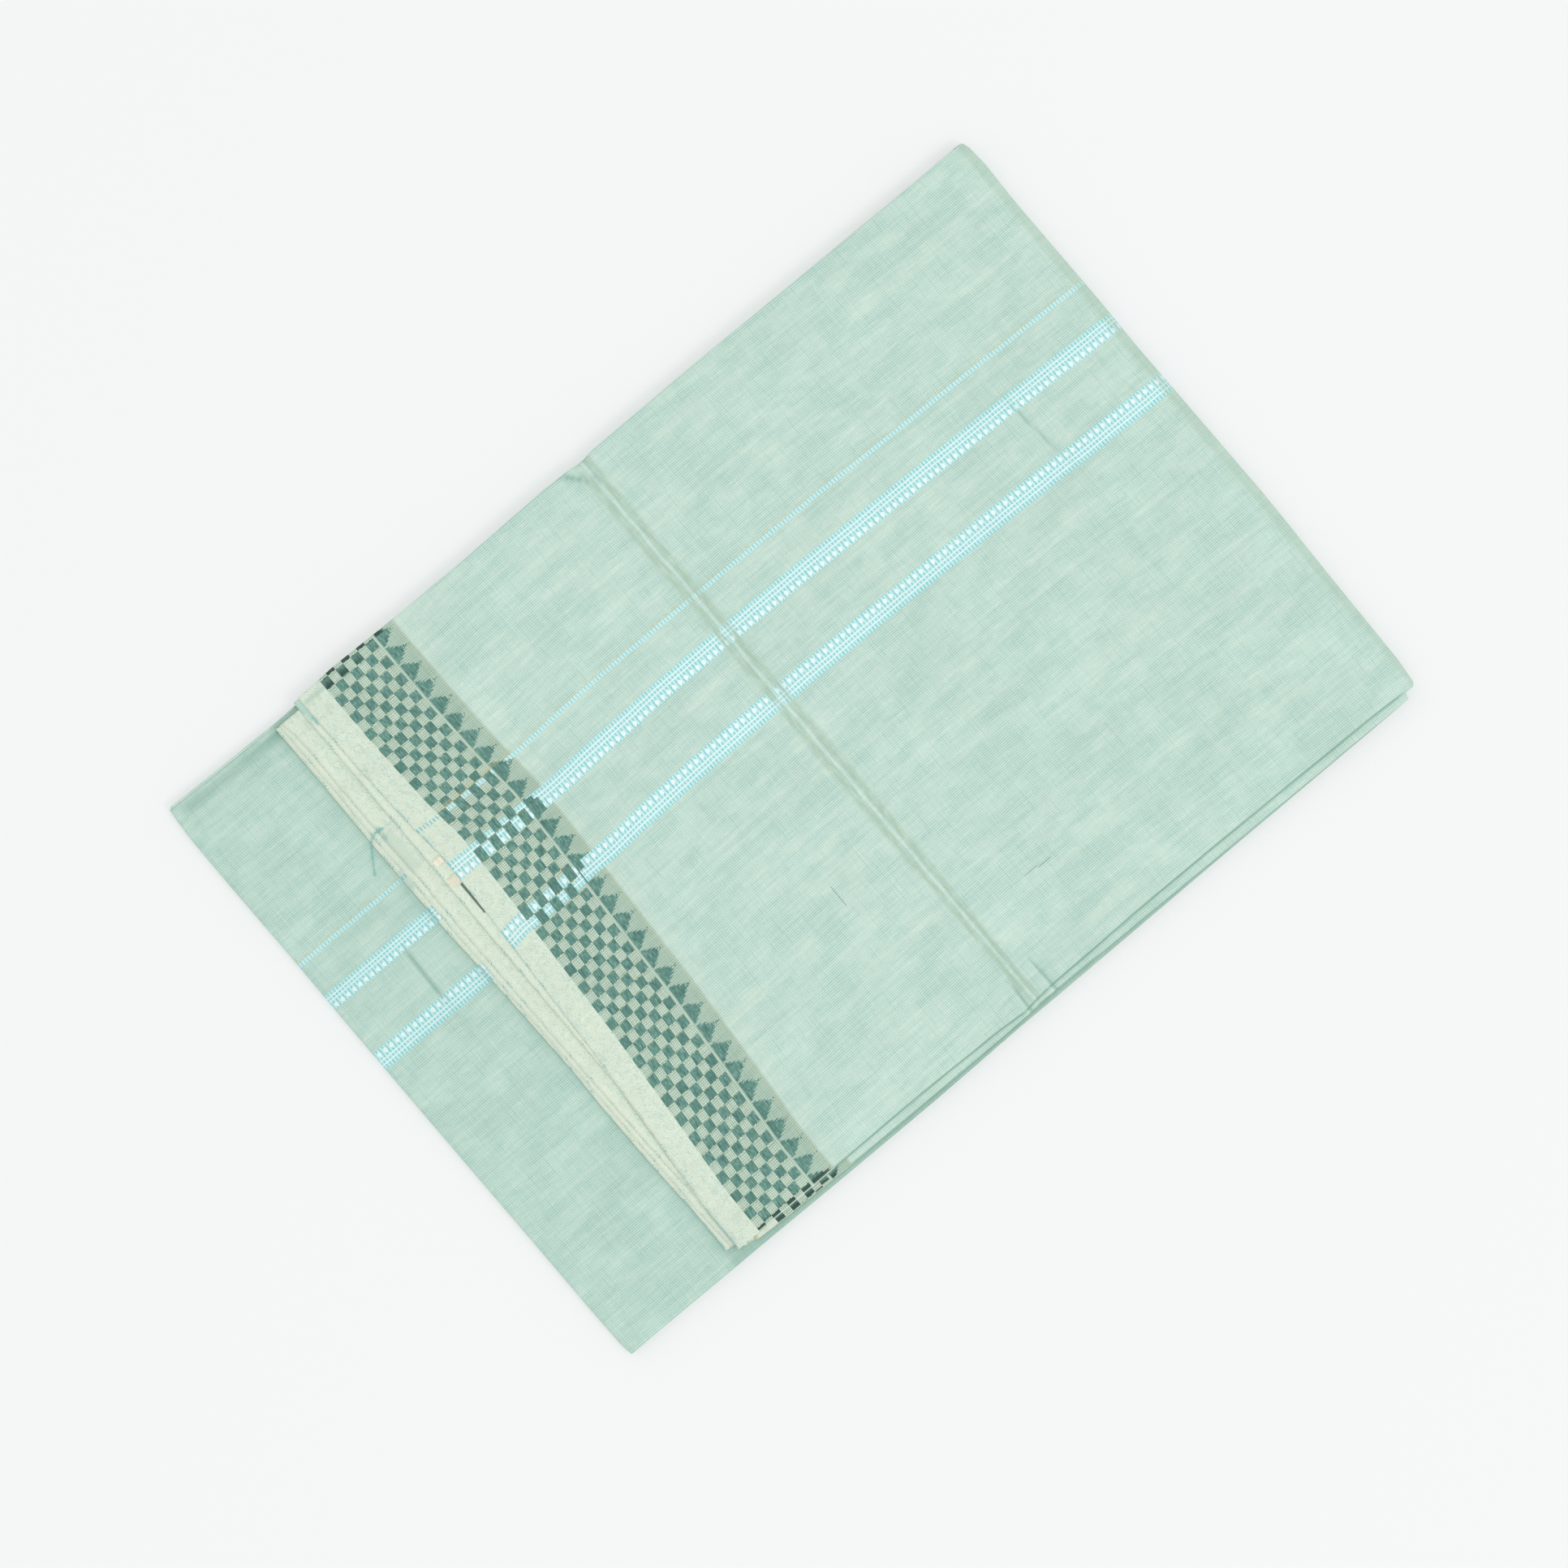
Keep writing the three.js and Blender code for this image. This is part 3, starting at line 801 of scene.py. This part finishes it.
# %% Places on the loom
class Loom(Finish):
    def __init__(self, name):
        super().__init__(name)
        place = self.node("ShaderNodeUVMap", {"uv_map": "cloth"})
        across, along = self.across, self.along = self.millimetres(place.outputs[0], 2)
        self.inward = across.least(CLOTH_WIDTH - across)  # from the nearer selvedge
        self.cream = 1 - self.inward.eased(CREAM_WIDTH - 0.15, CREAM_WIDTH + 0.15)

        # Each warp thread lets a weft colour begin a little higher or lower.
        self.rib = (across / (WARP_PITCH / 2)).floor()
        self.crossing = self.speckle(self.rib, (along / 0.5).floor())
        ragged = self.speckle(self.rib, (along / 3).floor()) - 0.5
        self.row = row_number(self, along + ragged * 0.45)
        self.within = self.row % 1
        self.column = (self.inward - CREAM_WIDTH) / COLUMN
        self.band = self.inward.between(CREAM_WIDTH, BAND_END)
        self.even = ((self.row.floor() + self.column.floor()) % 2) < 0.5

        # Slow clouds, bars and patches, and slubs along the weft and along the warp.
        self.cloud = self.uneven(40, 26, 1.0, 3.0)
        self.bar = self.uneven(90, 2.6, 2.0, 3.0)
        self.patch = self.uneven(14, 8, 3.5, 3.0)
        self.slub = self.uneven(9, 0.7, 3.0, 3.0)
        self.warp_slub = self.uneven(0.7, 18, 4.0)

        # An open weave: gaps between the warp threads, deeper in some patches, and weft threads.
        waver = (self.warp_slub - 0.5) * 0.5
        self.gap = (across + waver).wave(WARP_PITCH).eased(-0.1, 0.9)
        self.depth = (1 - self.patch).eased(0.30, 0.66) * 0.35
        self.depth = self.depth + (1 - self.bar).eased(0.36, 0.6) * 0.2 + 0.34
        self.weft = (along + (self.slub - 0.5) * 0.5).wave(WEFT_PITCH)
        self.weft_gap = (0 - self.weft).eased(0.2, 0.9)
        self.open_grid = self.gap.most(self.weft_gap)

    def uneven(self, across, along, seed, detail=2.0):
        """Unevenness that changes over so many millimetres across and along."""
        return self.noise(self.across / across, self.along / along, seed, detail)


# %% Ground, olive ground and cream edge
def ground_cloth(loom):
    """Sea green with slow clouds, slubs, teal gaps and pale weft threads."""
    slub = loom.slub
    return loom.layers(
        loom.colour(loom.patch.eased(0.32, 0.68) * 0.5 + 0.45, SEA_GREEN_DEEP, SEA_GREEN),
        (loom.bar.eased(0.44, 0.70) * 0.4, WARM_GREEN),
        (slub.eased(0.50, 0.72) * 0.7, MINT),
        ((1 - slub).eased(0.54, 0.74) * 0.6, SEA_GREEN_DEEP),
        (loom.warp_slub.eased(0.52, 0.72) * 0.7, SEA_GREEN_DEEP),
        (loom.gap * loom.depth * 0.95, GAP_TEAL),
        (loom.weft.eased(0.1, 0.9) * 0.38, MINT),
        ((0 - loom.weft).eased(0.3, 0.95) * loom.depth * 0.45, GAP_TEAL))


def olive_ground(loom, colour):
    """The olive ground behind the temple points, its gold strip, and the paler cloth past it."""
    inward = loom.inward
    olive = loom.colour(loom.open_grid * (loom.depth * 0.5 + 0.35), OLIVE_GROUND, OLIVE_THREAD)
    return loom.layers(
        colour,
        ((1 - inward.eased(GROUND_END + 1, GROUND_END + 11)) * 0.14, WARM_GREEN),
        (1 - inward.eased(GROUND_END - 0.9, GROUND_END + 0.9), olive),
        (inward.between(GROUND_END - 2, GROUND_END) * loom.gap * 0.25, GOLD_TICK))


def cream_edge(loom, colour, edge_painted_light):
    """The cream edge, where both sets of threads are cream and lie close."""
    across, along = loom.across, loom.along
    twill = loom.noise((across + along) / 0.5, (across - along) / 1.4, 6.5)
    warm_runs = loom.uneven(2.4, 45, 6.8).eased(0.48, 0.70)
    cream = loom.layers(
        CREAM_YARN,
        (loom.uneven(3, 5, 6.0, 3.0).eased(0.45, 0.75) * 0.6, CREAM_SHADE),
        (twill.eased(0.5, 0.72) * 0.75, CREAM_GRAIN),
        (warm_runs * 0.38, CREAM_WARM),
        (loom.open_grid * loom.depth * 0.35, CREAM_GRAIN),
        # Painted light: lighter cream along the first millimetres of the selvedge, lifting the
        # shade at the steps between plies.
        ((1 - loom.inward.eased(0.8, 4.5)) * edge_painted_light, CREAM_EDGE_LIT))
    return loom.colour(loom.cream, colour, cream)


print("ground layers ready")


# %% Stripes of the dhoti's end
def woven_stripes(loom, colour):
    """The thin line and the two blue stripes, over whatever is there."""
    across, cream = loom.across, loom.cream
    wobble = loom.along + (loom.noise(across / 14, 0.0, 7.0) - 0.5) * 0.5
    tick = (across.wave(TICK_PITCH) * 0.5 + 0.5).eased(0.30, 0.85)
    patchy = loom.uneven(1.2, 0.8, 7.5).eased(0.35, 0.65) * 0.35 + 0.65
    blue = loom.colour(tick * patchy, SKY, SKY_DEEP)
    thin = wobble.between(*THIN_LINE) * (cream * tick + (1 - cream) * 0.95)
    thin_blue = loom.layers(blue, ((1 - cream) * 0.15, WHITE_YARN), (cream * 0.5, TEAL_SPECK))
    gold_row = wobble.between(THIN_LINE[1], THIN_LINE[1] + 1.2) * (1 - cream)
    gold_tick = loom.speckle((across / 0.45).floor(), 3.0) > 0.5
    colour = loom.layers(colour, (thin * (patchy * 0.5 + 0.5), thin_blue),
                          (gold_row * gold_tick * 0.4, GOLD_TICK))
    for stripe in STRIPES:
        ground = wobble.between(*stripe["ground"]) * (1 - cream * (1 - tick) * 0.35)
        colour = loom.colour(ground * (patchy * 0.2 + 0.75), colour, blue)
        for line in stripe["lines"]:
            colour = loom.colour(wobble.between(*line) * 0.95, colour, WHITE_YARN)
        low, high = stripe["dots"]
        sideways = ((across % DOT_PITCH) - DOT_PITCH / 2) / DOT_HALF_WIDTH
        upwards = (wobble - (low + high) / 2) / ((high - low) / 2)
        round_off = sideways * sideways + upwards * upwards
        colour = loom.colour(1 - round_off.eased(0.75, 1.35), colour, WHITE_YARN)
    return colour


# %% Squares and temple points
def light_squares(loom, colour):
    """The light squares of the band, and the pale line past its last column."""
    light = loom.band * (1 - loom.even)
    return loom.layers(
        colour,
        (light * (1 - loom.gap) * (1 - loom.weft_gap) * 0.65, CREAM_YARN),
        (light * loom.within.between(0.11, 0.19) * 0.45, OLIVE_THREAD),
        (light * (loom.within < 0.08) * 0.7, CREAM_YARN),
        (loom.inward.between(BAND_END + 0.4, BAND_END + 0.9) * 0.4, CREAM_YARN))


def temple_points(loom, stripes):
    """Where the temple points are, one for every two rows, and how far out each place is."""
    pick = (loom.along / TEMPLE_PICK).floor()
    jag = (pick % 2) + loom.speckle(0.0, pick) * 0.7 - 0.85
    out = loom.inward - TEMPLE_BASE
    stepped = out + jag * out.eased(0.4, 1.6)
    half_height, before = out * 0, 0.0
    for reach, half in TEMPLE_STEPS:
        half_height = half_height + (stepped < reach) * (half - before)
        before = half
    from_axis = abs(((loom.row + 0.5 + TEMPLE_RISE) % 2) - 1)
    temple = (out > 0) * (from_axis < half_height)
    if stripes:
        for low, high, reach in TEMPLE_BLOCKS:
            zone = loom.along.between(low, high)
            temple = temple * (1 - zone) + zone * out.between(0.0, reach)
    return temple, out


def dark_weft(loom, colour, stripes):
    """The dark squares and the temple points. Also gives the mask of where the dark weft is."""
    temple, out = temple_points(loom, stripes)
    dark = (loom.band * loom.even).most(temple)
    fibre = loom.uneven(0.6, 2.6, 8.0).eased(0.44, 0.66)
    shade = (1 - loom.uneven(0.7, 3.4, 8.5)).eased(0.50, 0.68)
    own_tone = loom.speckle(loom.row.floor(), loom.column.floor()).eased(0.6, 1.0)
    dark_colour = loom.layers(TEMPLE_GREEN, (fibre, TEMPLE_RIB), (shade * 0.8, TEMPLE_SHADE),
                               (own_tone * 0.4, TEMPLE_SHADE))
    sparse = loom.crossing > 0.55
    stipple = 1 - temple * (out > POINT_SPARSE_FROM) * sparse
    return loom.colour(dark * stipple, colour, dark_colour), dark


def ticks(loom, colour, stripes):
    """Ticks where the extra weft comes up, along the top and bottom of each square: most of them
    olive, some gold, and a row of gold above the thin line."""
    chance = loom.speckle(loom.rib, loom.row.floor())
    edge = loom.within.between(0.0, 0.09).most(loom.within > 0.94) * (1 - loom.even * 0.6)
    tints = [(loom.band * edge * (chance > 0.45) * 0.55, OLIVE_THREAD),
             (loom.band * edge * (chance < 0.22) * 0.6, GOLD_TICK)]
    if stripes:
        above = loom.along.between(THIN_LINE[1] + 0.2, THIN_LINE[1] + 2.0)
        in_border = loom.inward.between(CREAM_WIDTH, GROUND_END + 3)
        tints.append((above * in_border * (chance > 0.5) * 0.35, GOLD_TICK))
    return loom.layers(colour, *tints)


print("pattern layers ready")


# %% Selvedge ends, folds and creases
def selvedge_ends(loom, colour):
    """Teal ends of weft along the selvedge, in broken runs, and a few flecks in the cream."""
    runs = loom.noise(0.0, loom.along / 9, 21.0).eased(0.46, 0.62)
    speck = loom.uneven(0.5, 0.7, 22.0, 1.0).eased(0.50, 0.60)
    lock = loom.inward.between(1.7, 2.05) * ((loom.along % 2.3) < 1.2)
    fleck = loom.uneven(0.5, 0.8, 23.0, 1.0).eased(0.80, 0.84)
    return loom.layers(
        colour,
        (loom.inward.between(0.0, 1.1) * speck * runs * 0.85, TEAL_SPECK),
        (lock * runs * 0.25, TEAL_SPECK),
        (fleck * loom.cream * 0.8, DARK_FLECK))


def fold_shade_and_highlight(loom, colour, dark, front_shadow, front_shadow_end):
    """Painted light and shade at the folds: a painted shadow line under the front edge, and
    painted shade where the cloth turns away at a fold and in a trough by the rim, which makes the
    extra weft nearly black there; a painted highlight on the front fold's edge in the border. A
    crease gets painted shade in its trough and a painted highlight on its ridge."""
    across = loom.across
    rubbed, from_front, from_rim = (
        Number(loom, loom.node("ShaderNodeAttribute", {"attribute_name": key}).outputs["Fac"])
        for key in SHADE_INPUTS)
    in_border = 1 - loom.inward.eased(BAND_END + 8, BAND_END + 14)
    # Painted shadow line where the front edge stands over the ply below, weaker in the border.
    line = (1 - from_front.eased(0.1, 0.8)) * (1 - in_border * 0.8) * front_shadow
    line = line * (1 - across.eased(front_shadow_end - FRONT_SHADOW_FADE, front_shadow_end))
    # Painted shade where the cloth turns away at the front fold and at the rim, and in a trough
    # just inside the rim near selvedge A.
    trough = from_rim.eased(1.6, 5.4) * (1 - from_rim.eased(5.7, 6.3)) * (1 - across.eased(20, 46))
    deep = (1 - from_front.eased(1.6, 3.0)).most(1 - from_rim.eased(1.4, 2.2)).most(trough)
    return loom.layers(
        colour,
        (line, GAP_SHADOW_GREEN),
        (dark * deep * 0.8, DARK_SLUB_AND_SHADE),
        # Painted highlight on the very edge of the front fold, in the border.
        ((1 - from_front.eased(0.15, 0.5)) * in_border * 0.6, CREAM_YARN),
        # Painted shade in crease troughs and on the strip beside the selvedges; painted highlight
        # on crease ridges.
        (rubbed.most(0) * 0.8, CREASE_SHADE_GREEN),
        ((0 - rubbed).most(0) * 0.6, MINT))


def crease_shade_lines(cloth, colour):
    """A crease that was pressed once: two olive lines of painted shade with a painted highlight
    between.
    """
    x, y = cloth.here(2)
    waver = cloth.noise(x / 200, y / 16, 12.0) - 0.5
    narrowing = y.eased(-156, -40) * 0.35 + 0.65
    off = abs((x - MIDDLE_CREASE + waver) / narrowing)
    patchy = cloth.noise(x / 2, y / 7, 13.0, 3.0).eased(0.25, 0.7) * 0.75 + 0.25
    bands = off.eased(0.5, 1.4) * (1 - off.eased(2.8, 5.4)) * patchy
    # Olive painted shade either side of the crease, and a painted highlight down its middle.
    return cloth.layers(colour, (bands * 0.9, OLIVE_SHADE),
                        ((1 - off.eased(0.25, 0.65)) * 0.4 * patchy, MINT))


def marks_and_shade(cloth, colour, marks):
    """Small marks on the top leaf, each a soft-edged place with its tint and strength; some are
    real marks, some painted shade and painted shadows.
    """
    x, y, z = cloth.here(3)
    on_top_leaf = z.eased(*MARK_HEIGHTS)
    for mark in marks:
        soft, inside = mark["soft"], on_top_leaf * mark["amount"]
        spans = ((x, mark["left"], mark["right"]), (y, mark["low"], mark["high"]))
        for place, start, end in spans:
            inside = inside * place.eased(start - soft, start + soft)
            inside = inside * (1 - place.eased(end - soft, end + soft))
        colour = cloth.colour(inside, colour, mark["tint"])
    return colour


# The painted shade and highlights of folds and creases are among these layers.
print("wear layers ready")


# %% The handloom cotton
COTTON = {"Sheen Weight": 0.12, "Specular IOR Level": 0.12}


def handloom(name, stripes=True, creased=False, deeper=0.0, marks=(), front_shadow=0.0,
             front_shadow_end=CLOTH_WIDTH, edge_painted_light=0.0):
    loom = Loom(name)
    colour = olive_ground(loom, ground_cloth(loom))
    colour = light_squares(loom, cream_edge(loom, colour, edge_painted_light))
    if stripes:
        colour = woven_stripes(loom, colour)
    colour, dark = dark_weft(loom, colour, stripes)
    colour = selvedge_ends(loom, ticks(loom, colour, stripes))
    if creased:
        colour = crease_shade_lines(loom, colour)
    colour = marks_and_shade(loom, colour, marks)
    colour = fold_shade_and_highlight(loom, colour, dark, front_shadow, front_shadow_end)

    # Thread by thread light and shade, and slow clouds over everything.
    grain = (loom.crossing - 0.5) * 0.06
    clouds = (loom.cloud - 0.5) * 0.13 + (loom.bar - 0.5) * 0.05
    colour = loom.times(colour, grain + clouds + 1)
    colour = loom.colour((1 - loom.cream) * deeper, colour, loom.times(colour, STRIP_TINT))

    # Relief: crossing threads, slubs and a soft nap.
    crossed = loom.across.wave(WARP_PITCH) * loom.along.wave(WEFT_PITCH)
    height = (crossed + loom.noise(0.5, 0.5, 9.0) + loom.slub) * 0.5
    print(name, "nodes:", len(loom.tree.nodes))
    return loom.surface({
        "Base Color": colour, "Roughness": 0.92, "Sheen Roughness": 0.6,
        "Normal": loom.bump(height, 0.35, 0.00012), **COTTON})


# %% [markdown]
# ## Marks of its own
# Some marks are on this cloth alone: dark slubs and teal weft that comes out at a selvedge, with
# painted shade on a fold and in a trough, and painted shadows in gaps and under a loose thread.
# They are kept as rows with a place in millimetres, so that each can be moved by hand.

# %% Marks, and the three kinds of ply
MARK = "left right low high soft tint amount"
FACE_MARKS = table(
    MARK,
    (-27.4, -27, -66.5, -56, 0.25, DARK_SLUB_AND_SHADE, 0.45),  # one dark slub along the warp
    (40, 47, -106.6, -106.2, 0.25, DARK_SLUB_AND_SHADE, 0.35),  # and some along the weft
    (47, 54, -107.6, -107.2, 0.25, DARK_SLUB_AND_SHADE, 0.45),
    (-80.6, -80.2, -6, 6, 0.3, DARK_SLUB_AND_SHADE, 0.18),
    (109, 109.4, -92, -78, 0.3, DARK_SLUB_AND_SHADE, 0.16),
    (-148.6, -147.3, 64.4, 74.6, 0.5, TEAL_SPECK, 0.5),  # teal weft ends along the selvedge
    (-150.6, -149.4, 99.6, 102.8, 0.5, TEAL_SPECK, 0.45),
    (-159.3, -158.2, -150, -125, 0.3, TEAL_SPECK, 0.5),
    (221, 227, -160, 160, 1.2, OLIVE_SHADE, 0.4),  # painted shade on the fold at the right
    (-149.6, -138, 150.3, 152.6, 0.9, OLIVE_SHADE, 0.55),  # and painted shade in the trough by the rim
)
UNDER_MARKS = table(
    MARK,
    (-165.5, -153.6, 150.9, 152.3, 0.35, DARK_SLUB_AND_SHADE, 0.85),  # painted shadow in the open corner's gap
    (-166.6, -164.6, 60, 70, 0.7, TEAL_SPECK, 0.35),
    (-165.2, -163.8, -38, -32, 0.6, TEAL_SPECK, 0.45),
    (-164, -162.9, -146, -118, 0.3, TEAL_SPECK, 0.5),
)
INSIDE_MARKS = table(
    MARK,
    (-153.3, -150, 148, 156, 0.5, WEDGE_GREEN, 0.9),  # a wedge of the cloth behind
    (-152.6, -150, 143.6, 149, 0.6, WEDGE_GREEN, 0.85),
    (-151.9, -150.2, 140, 144.6, 0.6, WEDGE_GREEN, 0.8),
    (-148.9, -147.6, 32, 48.4, 0.25, DARK_SLUB_AND_SHADE, 0.8),  # painted shadow in the gap under the face selvedge
    (-150.5, -148.6, -153.5, -149, 0.3, GOLD_TICK, 0.8),  # gold weft at the loose end's corner
    (-159.9, -152.8, 87.8, 88.6, 0.3, WEDGE_GREEN, 0.5),  # painted shadow of the loose thread
    (-161.8, -158.6, 87.6, 89.2, 0.6, TEAL_SPECK, 0.5),  # teal fibres at its two tufts
    (-162.2, -160, 82.8, 85.8, 0.7, TEAL_SPECK, 0.3),
    (-151.6, -150.3, 141.2, 145.4, 0.4, TEAL_SPECK, 0.5),  # teal weft at the tip of the wedge
    (-162.2, -156, 65, 87, 1.4, CREAM_SHADE, 0.7),  # painted shade on a run of the inner selvedges
)
face_cotton = handloom("face_cotton", creased=True, marks=FACE_MARKS, front_shadow=0.85,
                       front_shadow_end=372.0)
under_cotton = handloom("under_cotton", deeper=0.32, marks=UNDER_MARKS, edge_painted_light=0.5)
inside_cotton = handloom("inside_cotton", stripes=False, marks=INSIDE_MARKS, front_shadow=0.6,
                         front_shadow_end=200.0, edge_painted_light=0.5)
for ply, cloth in enumerate(plies):
    cloth.data.materials.append(
        face_cotton if ply == 0 else under_cotton if ply == 5 else inside_cotton)


# %% [markdown]
# ## Loose threads
# Handloom cloth isn't trimmed as mill cloth is. A teal end of weft hangs from the selvedge with a
# small tuft, and two short bundles of peach weft stick out under the face ply. Each thread is a
# ring of a few points drawn along its way.

# %% Threads
def thread(mesh, way, radius, sides=6):
    """Draws a ring along the points of a way, in millimetres, and closes both ends."""
    ring = bmesh.ops.create_circle(mesh, cap_ends=True, segments=sides, radius=radius)["verts"]
    direction = (way[1] - way[0]).normalized()
    turn = Vector((0, 0, 1)).rotation_difference(direction).to_matrix()
    bmesh.ops.rotate(mesh, verts=ring, cent=(0, 0, 0), matrix=turn)
    bmesh.ops.translate(mesh, verts=ring, vec=way[0])
    cap = [face for face in mesh.faces if all(vert in ring for vert in face.verts)]
    for step, (before, after) in enumerate(zip(way, way[1:])):
        grown = bmesh.ops.extrude_face_region(mesh, geom=cap)["geom"]
        moved = [item for item in grown if isinstance(item, bmesh.types.BMVert)]
        bmesh.ops.translate(mesh, verts=moved, vec=after - before)
        if step:  # the first cap stays, and closes the start
            bmesh.ops.delete(mesh, geom=cap, context="FACES_ONLY")
        cap = [item for item in grown if isinstance(item, bmesh.types.BMFace)]


def thread_piece(name, ways, radius, material):
    mesh = bmesh.new()
    for way in ways:
        thread(mesh, [Vector(point) for point in way], radius)
    bmesh.ops.scale(mesh, verts=mesh.verts, vec=(MM, MM, MM))
    bmesh.ops.recalc_face_normals(mesh, faces=mesh.faces)
    for face in mesh.faces:
        face.smooth = True
    piece = put(name, mesh, material)
    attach(piece, "root")
    print(name, "threads:", len(ways), "faces:", len(piece.data.polygons))


def yarn(name, light, deep):
    """Spun cotton: two tones that change every half millimetre or so."""
    finish = Finish(name)
    fibres = finish.node("ShaderNodeTexNoise", None, {
        "Vector": finish.node("ShaderNodeTexCoord").outputs["Object"],
        "Scale": 2600.0, "Detail": 2.0}).outputs[0]
    colour = finish.colour(Number(finish, fibres).eased(0.4, 0.65), deep, light)
    return finish.surface({
        "Base Color": colour, "Roughness": 0.9, "Normal": finish.bump(fibres, 0.4, 0.0001),
        **COTTON})


peach_yarn = yarn("peach_yarn", PEACH, PEACH_DEEP)
teal_yarn = yarn("teal_yarn", TEAL_YARN, TEAL_YARN_DEEP)
draw = random.Random(7)
ON_SELVEDGE, ON_STRIP = 7.28, 5.25  # heights of a thread on the inner plies and on the strip
THREADS_IN_BUNDLE = 9


def bundle(left, right, low, high):
    """Short threads side by side along Y, a little uneven at their ends."""
    ways = []
    for i in range(THREADS_IN_BUNDLE):
        x = mix(left, right, i / (THREADS_IN_BUNDLE - 1))
        start, end = low + draw.uniform(-0.2, 0.3), high + draw.uniform(-0.4, 0.2)
        sway = draw.uniform(-0.1, 0.1)
        ways.append([(x + sway * math.sin(3 * step), mix(start, end, step), ON_SELVEDGE)
                     for step in (0, 0.25, 0.5, 0.75, 1)])
    return ways


peach = bundle(-151.5, -147.9, 60.3, 63.8) + bundle(-151.8, -147.3, 48.9, 53.8)
thread_piece("peach_weft_ends", peach, 0.24, peach_yarn)

loose = [(-160.2, 89.0, 6.62), (-162.4, 88.9, 6.5), (-164.6, 88.6, 6.35), (-166.6, 87.4, 5.9),
         (-167.6, 85.8, ON_STRIP), (-169.4, 83.4, ON_STRIP), (-171.2, 80.6, ON_STRIP),
         (-173.0, 77.8, ON_STRIP), (-174.9, 74.9, ON_STRIP)]
tuft = []
for centre_x, centre_y, count in ((-160.0, 88.7, 9), (-160.8, 85.0, 7)):
    for _ in range(count):
        x, y = centre_x + draw.uniform(-0.5, 0.5), centre_y + draw.uniform(-1.0, 1.0)
        reach, rise = draw.uniform(-0.9, 1.4), draw.uniform(-1.5, 1.5)
        tuft.append([(x, y, 6.55), (x + reach * 0.6, y + rise * 0.5, 6.75),
                     (x + reach, y + rise, 6.7)])
thread_piece("loose_teal_weft", [loose], 0.3, teal_yarn)
thread_piece("teal_tufts", tuft, 0.07, teal_yarn)


# %% [markdown]
# ## Bind the plies to the frame
# The pack is one body, so every ply rides on root. A ply takes the place of the CAD wall it is
# part of, and each is a sheet of cloth whose flat size is the width of the dhoti by the length
# of one ply.

# %% Frame calls
REPLACED = {
    0: "top_leaf_face_plies", 3: "top_leaf_under_plies", 5: "middle_and_bottom_leaf_plies",
    1: "hidden_inner_plies",
}
for ply, cloth in enumerate(plies):
    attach(cloth, "root")
    if ply in REPLACED:
        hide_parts(REPLACED[ply])
print("plies bound to the frame")


# %% [markdown]
# ## Floor and light
# A pale tabletop, a bright even sky and one large lamp from the lower right: its shadow is soft
# and only a few millimetres long, which is enough to lift the cloth off the table.

# %% Floor and light
TABLE_GLOW = 0.38  # the tabletop glows a little, as a light table does
WINDOW_PLACE, WINDOW_SIZE, WINDOW_POWER = Vector((1.1, -2.5, 3.3)), 1.9, 27
SKY_POWER = 0.91


def make_floor():
    sheet = bmesh.new()
    bmesh.ops.create_grid(sheet, x_segments=1, y_segments=1, size=4.0)
    return put("tabletop", sheet, Finish("tabletop").surface({
        "Base Color": (0.531, 0.540, 0.540, 1), "Roughness": 0.8, "Specular IOR Level": 0.1,
        "Emission Color": (0.984, 1, 1, 1), "Emission Strength": TABLE_GLOW}))


floor = make_floor()

window = link("window", bpy.data.lights.new("window", "AREA"))
window.data.shape, window.data.size, window.data.energy = "DISK", WINDOW_SIZE, WINDOW_POWER
window.location = WINDOW_PLACE
window.rotation_euler = (-WINDOW_PLACE).to_track_quat("-Z", "Y").to_euler()
world = bpy.data.worlds.new("sky")
world.use_nodes = True
sky = world.node_tree.nodes["Background"].inputs
sky[0].default_value, sky[1].default_value = (1, 1, 1, 1), SKY_POWER
bpy.context.scene.world = world
bpy.context.scene.view_settings.view_transform = "Standard"
print("floor and light ready")
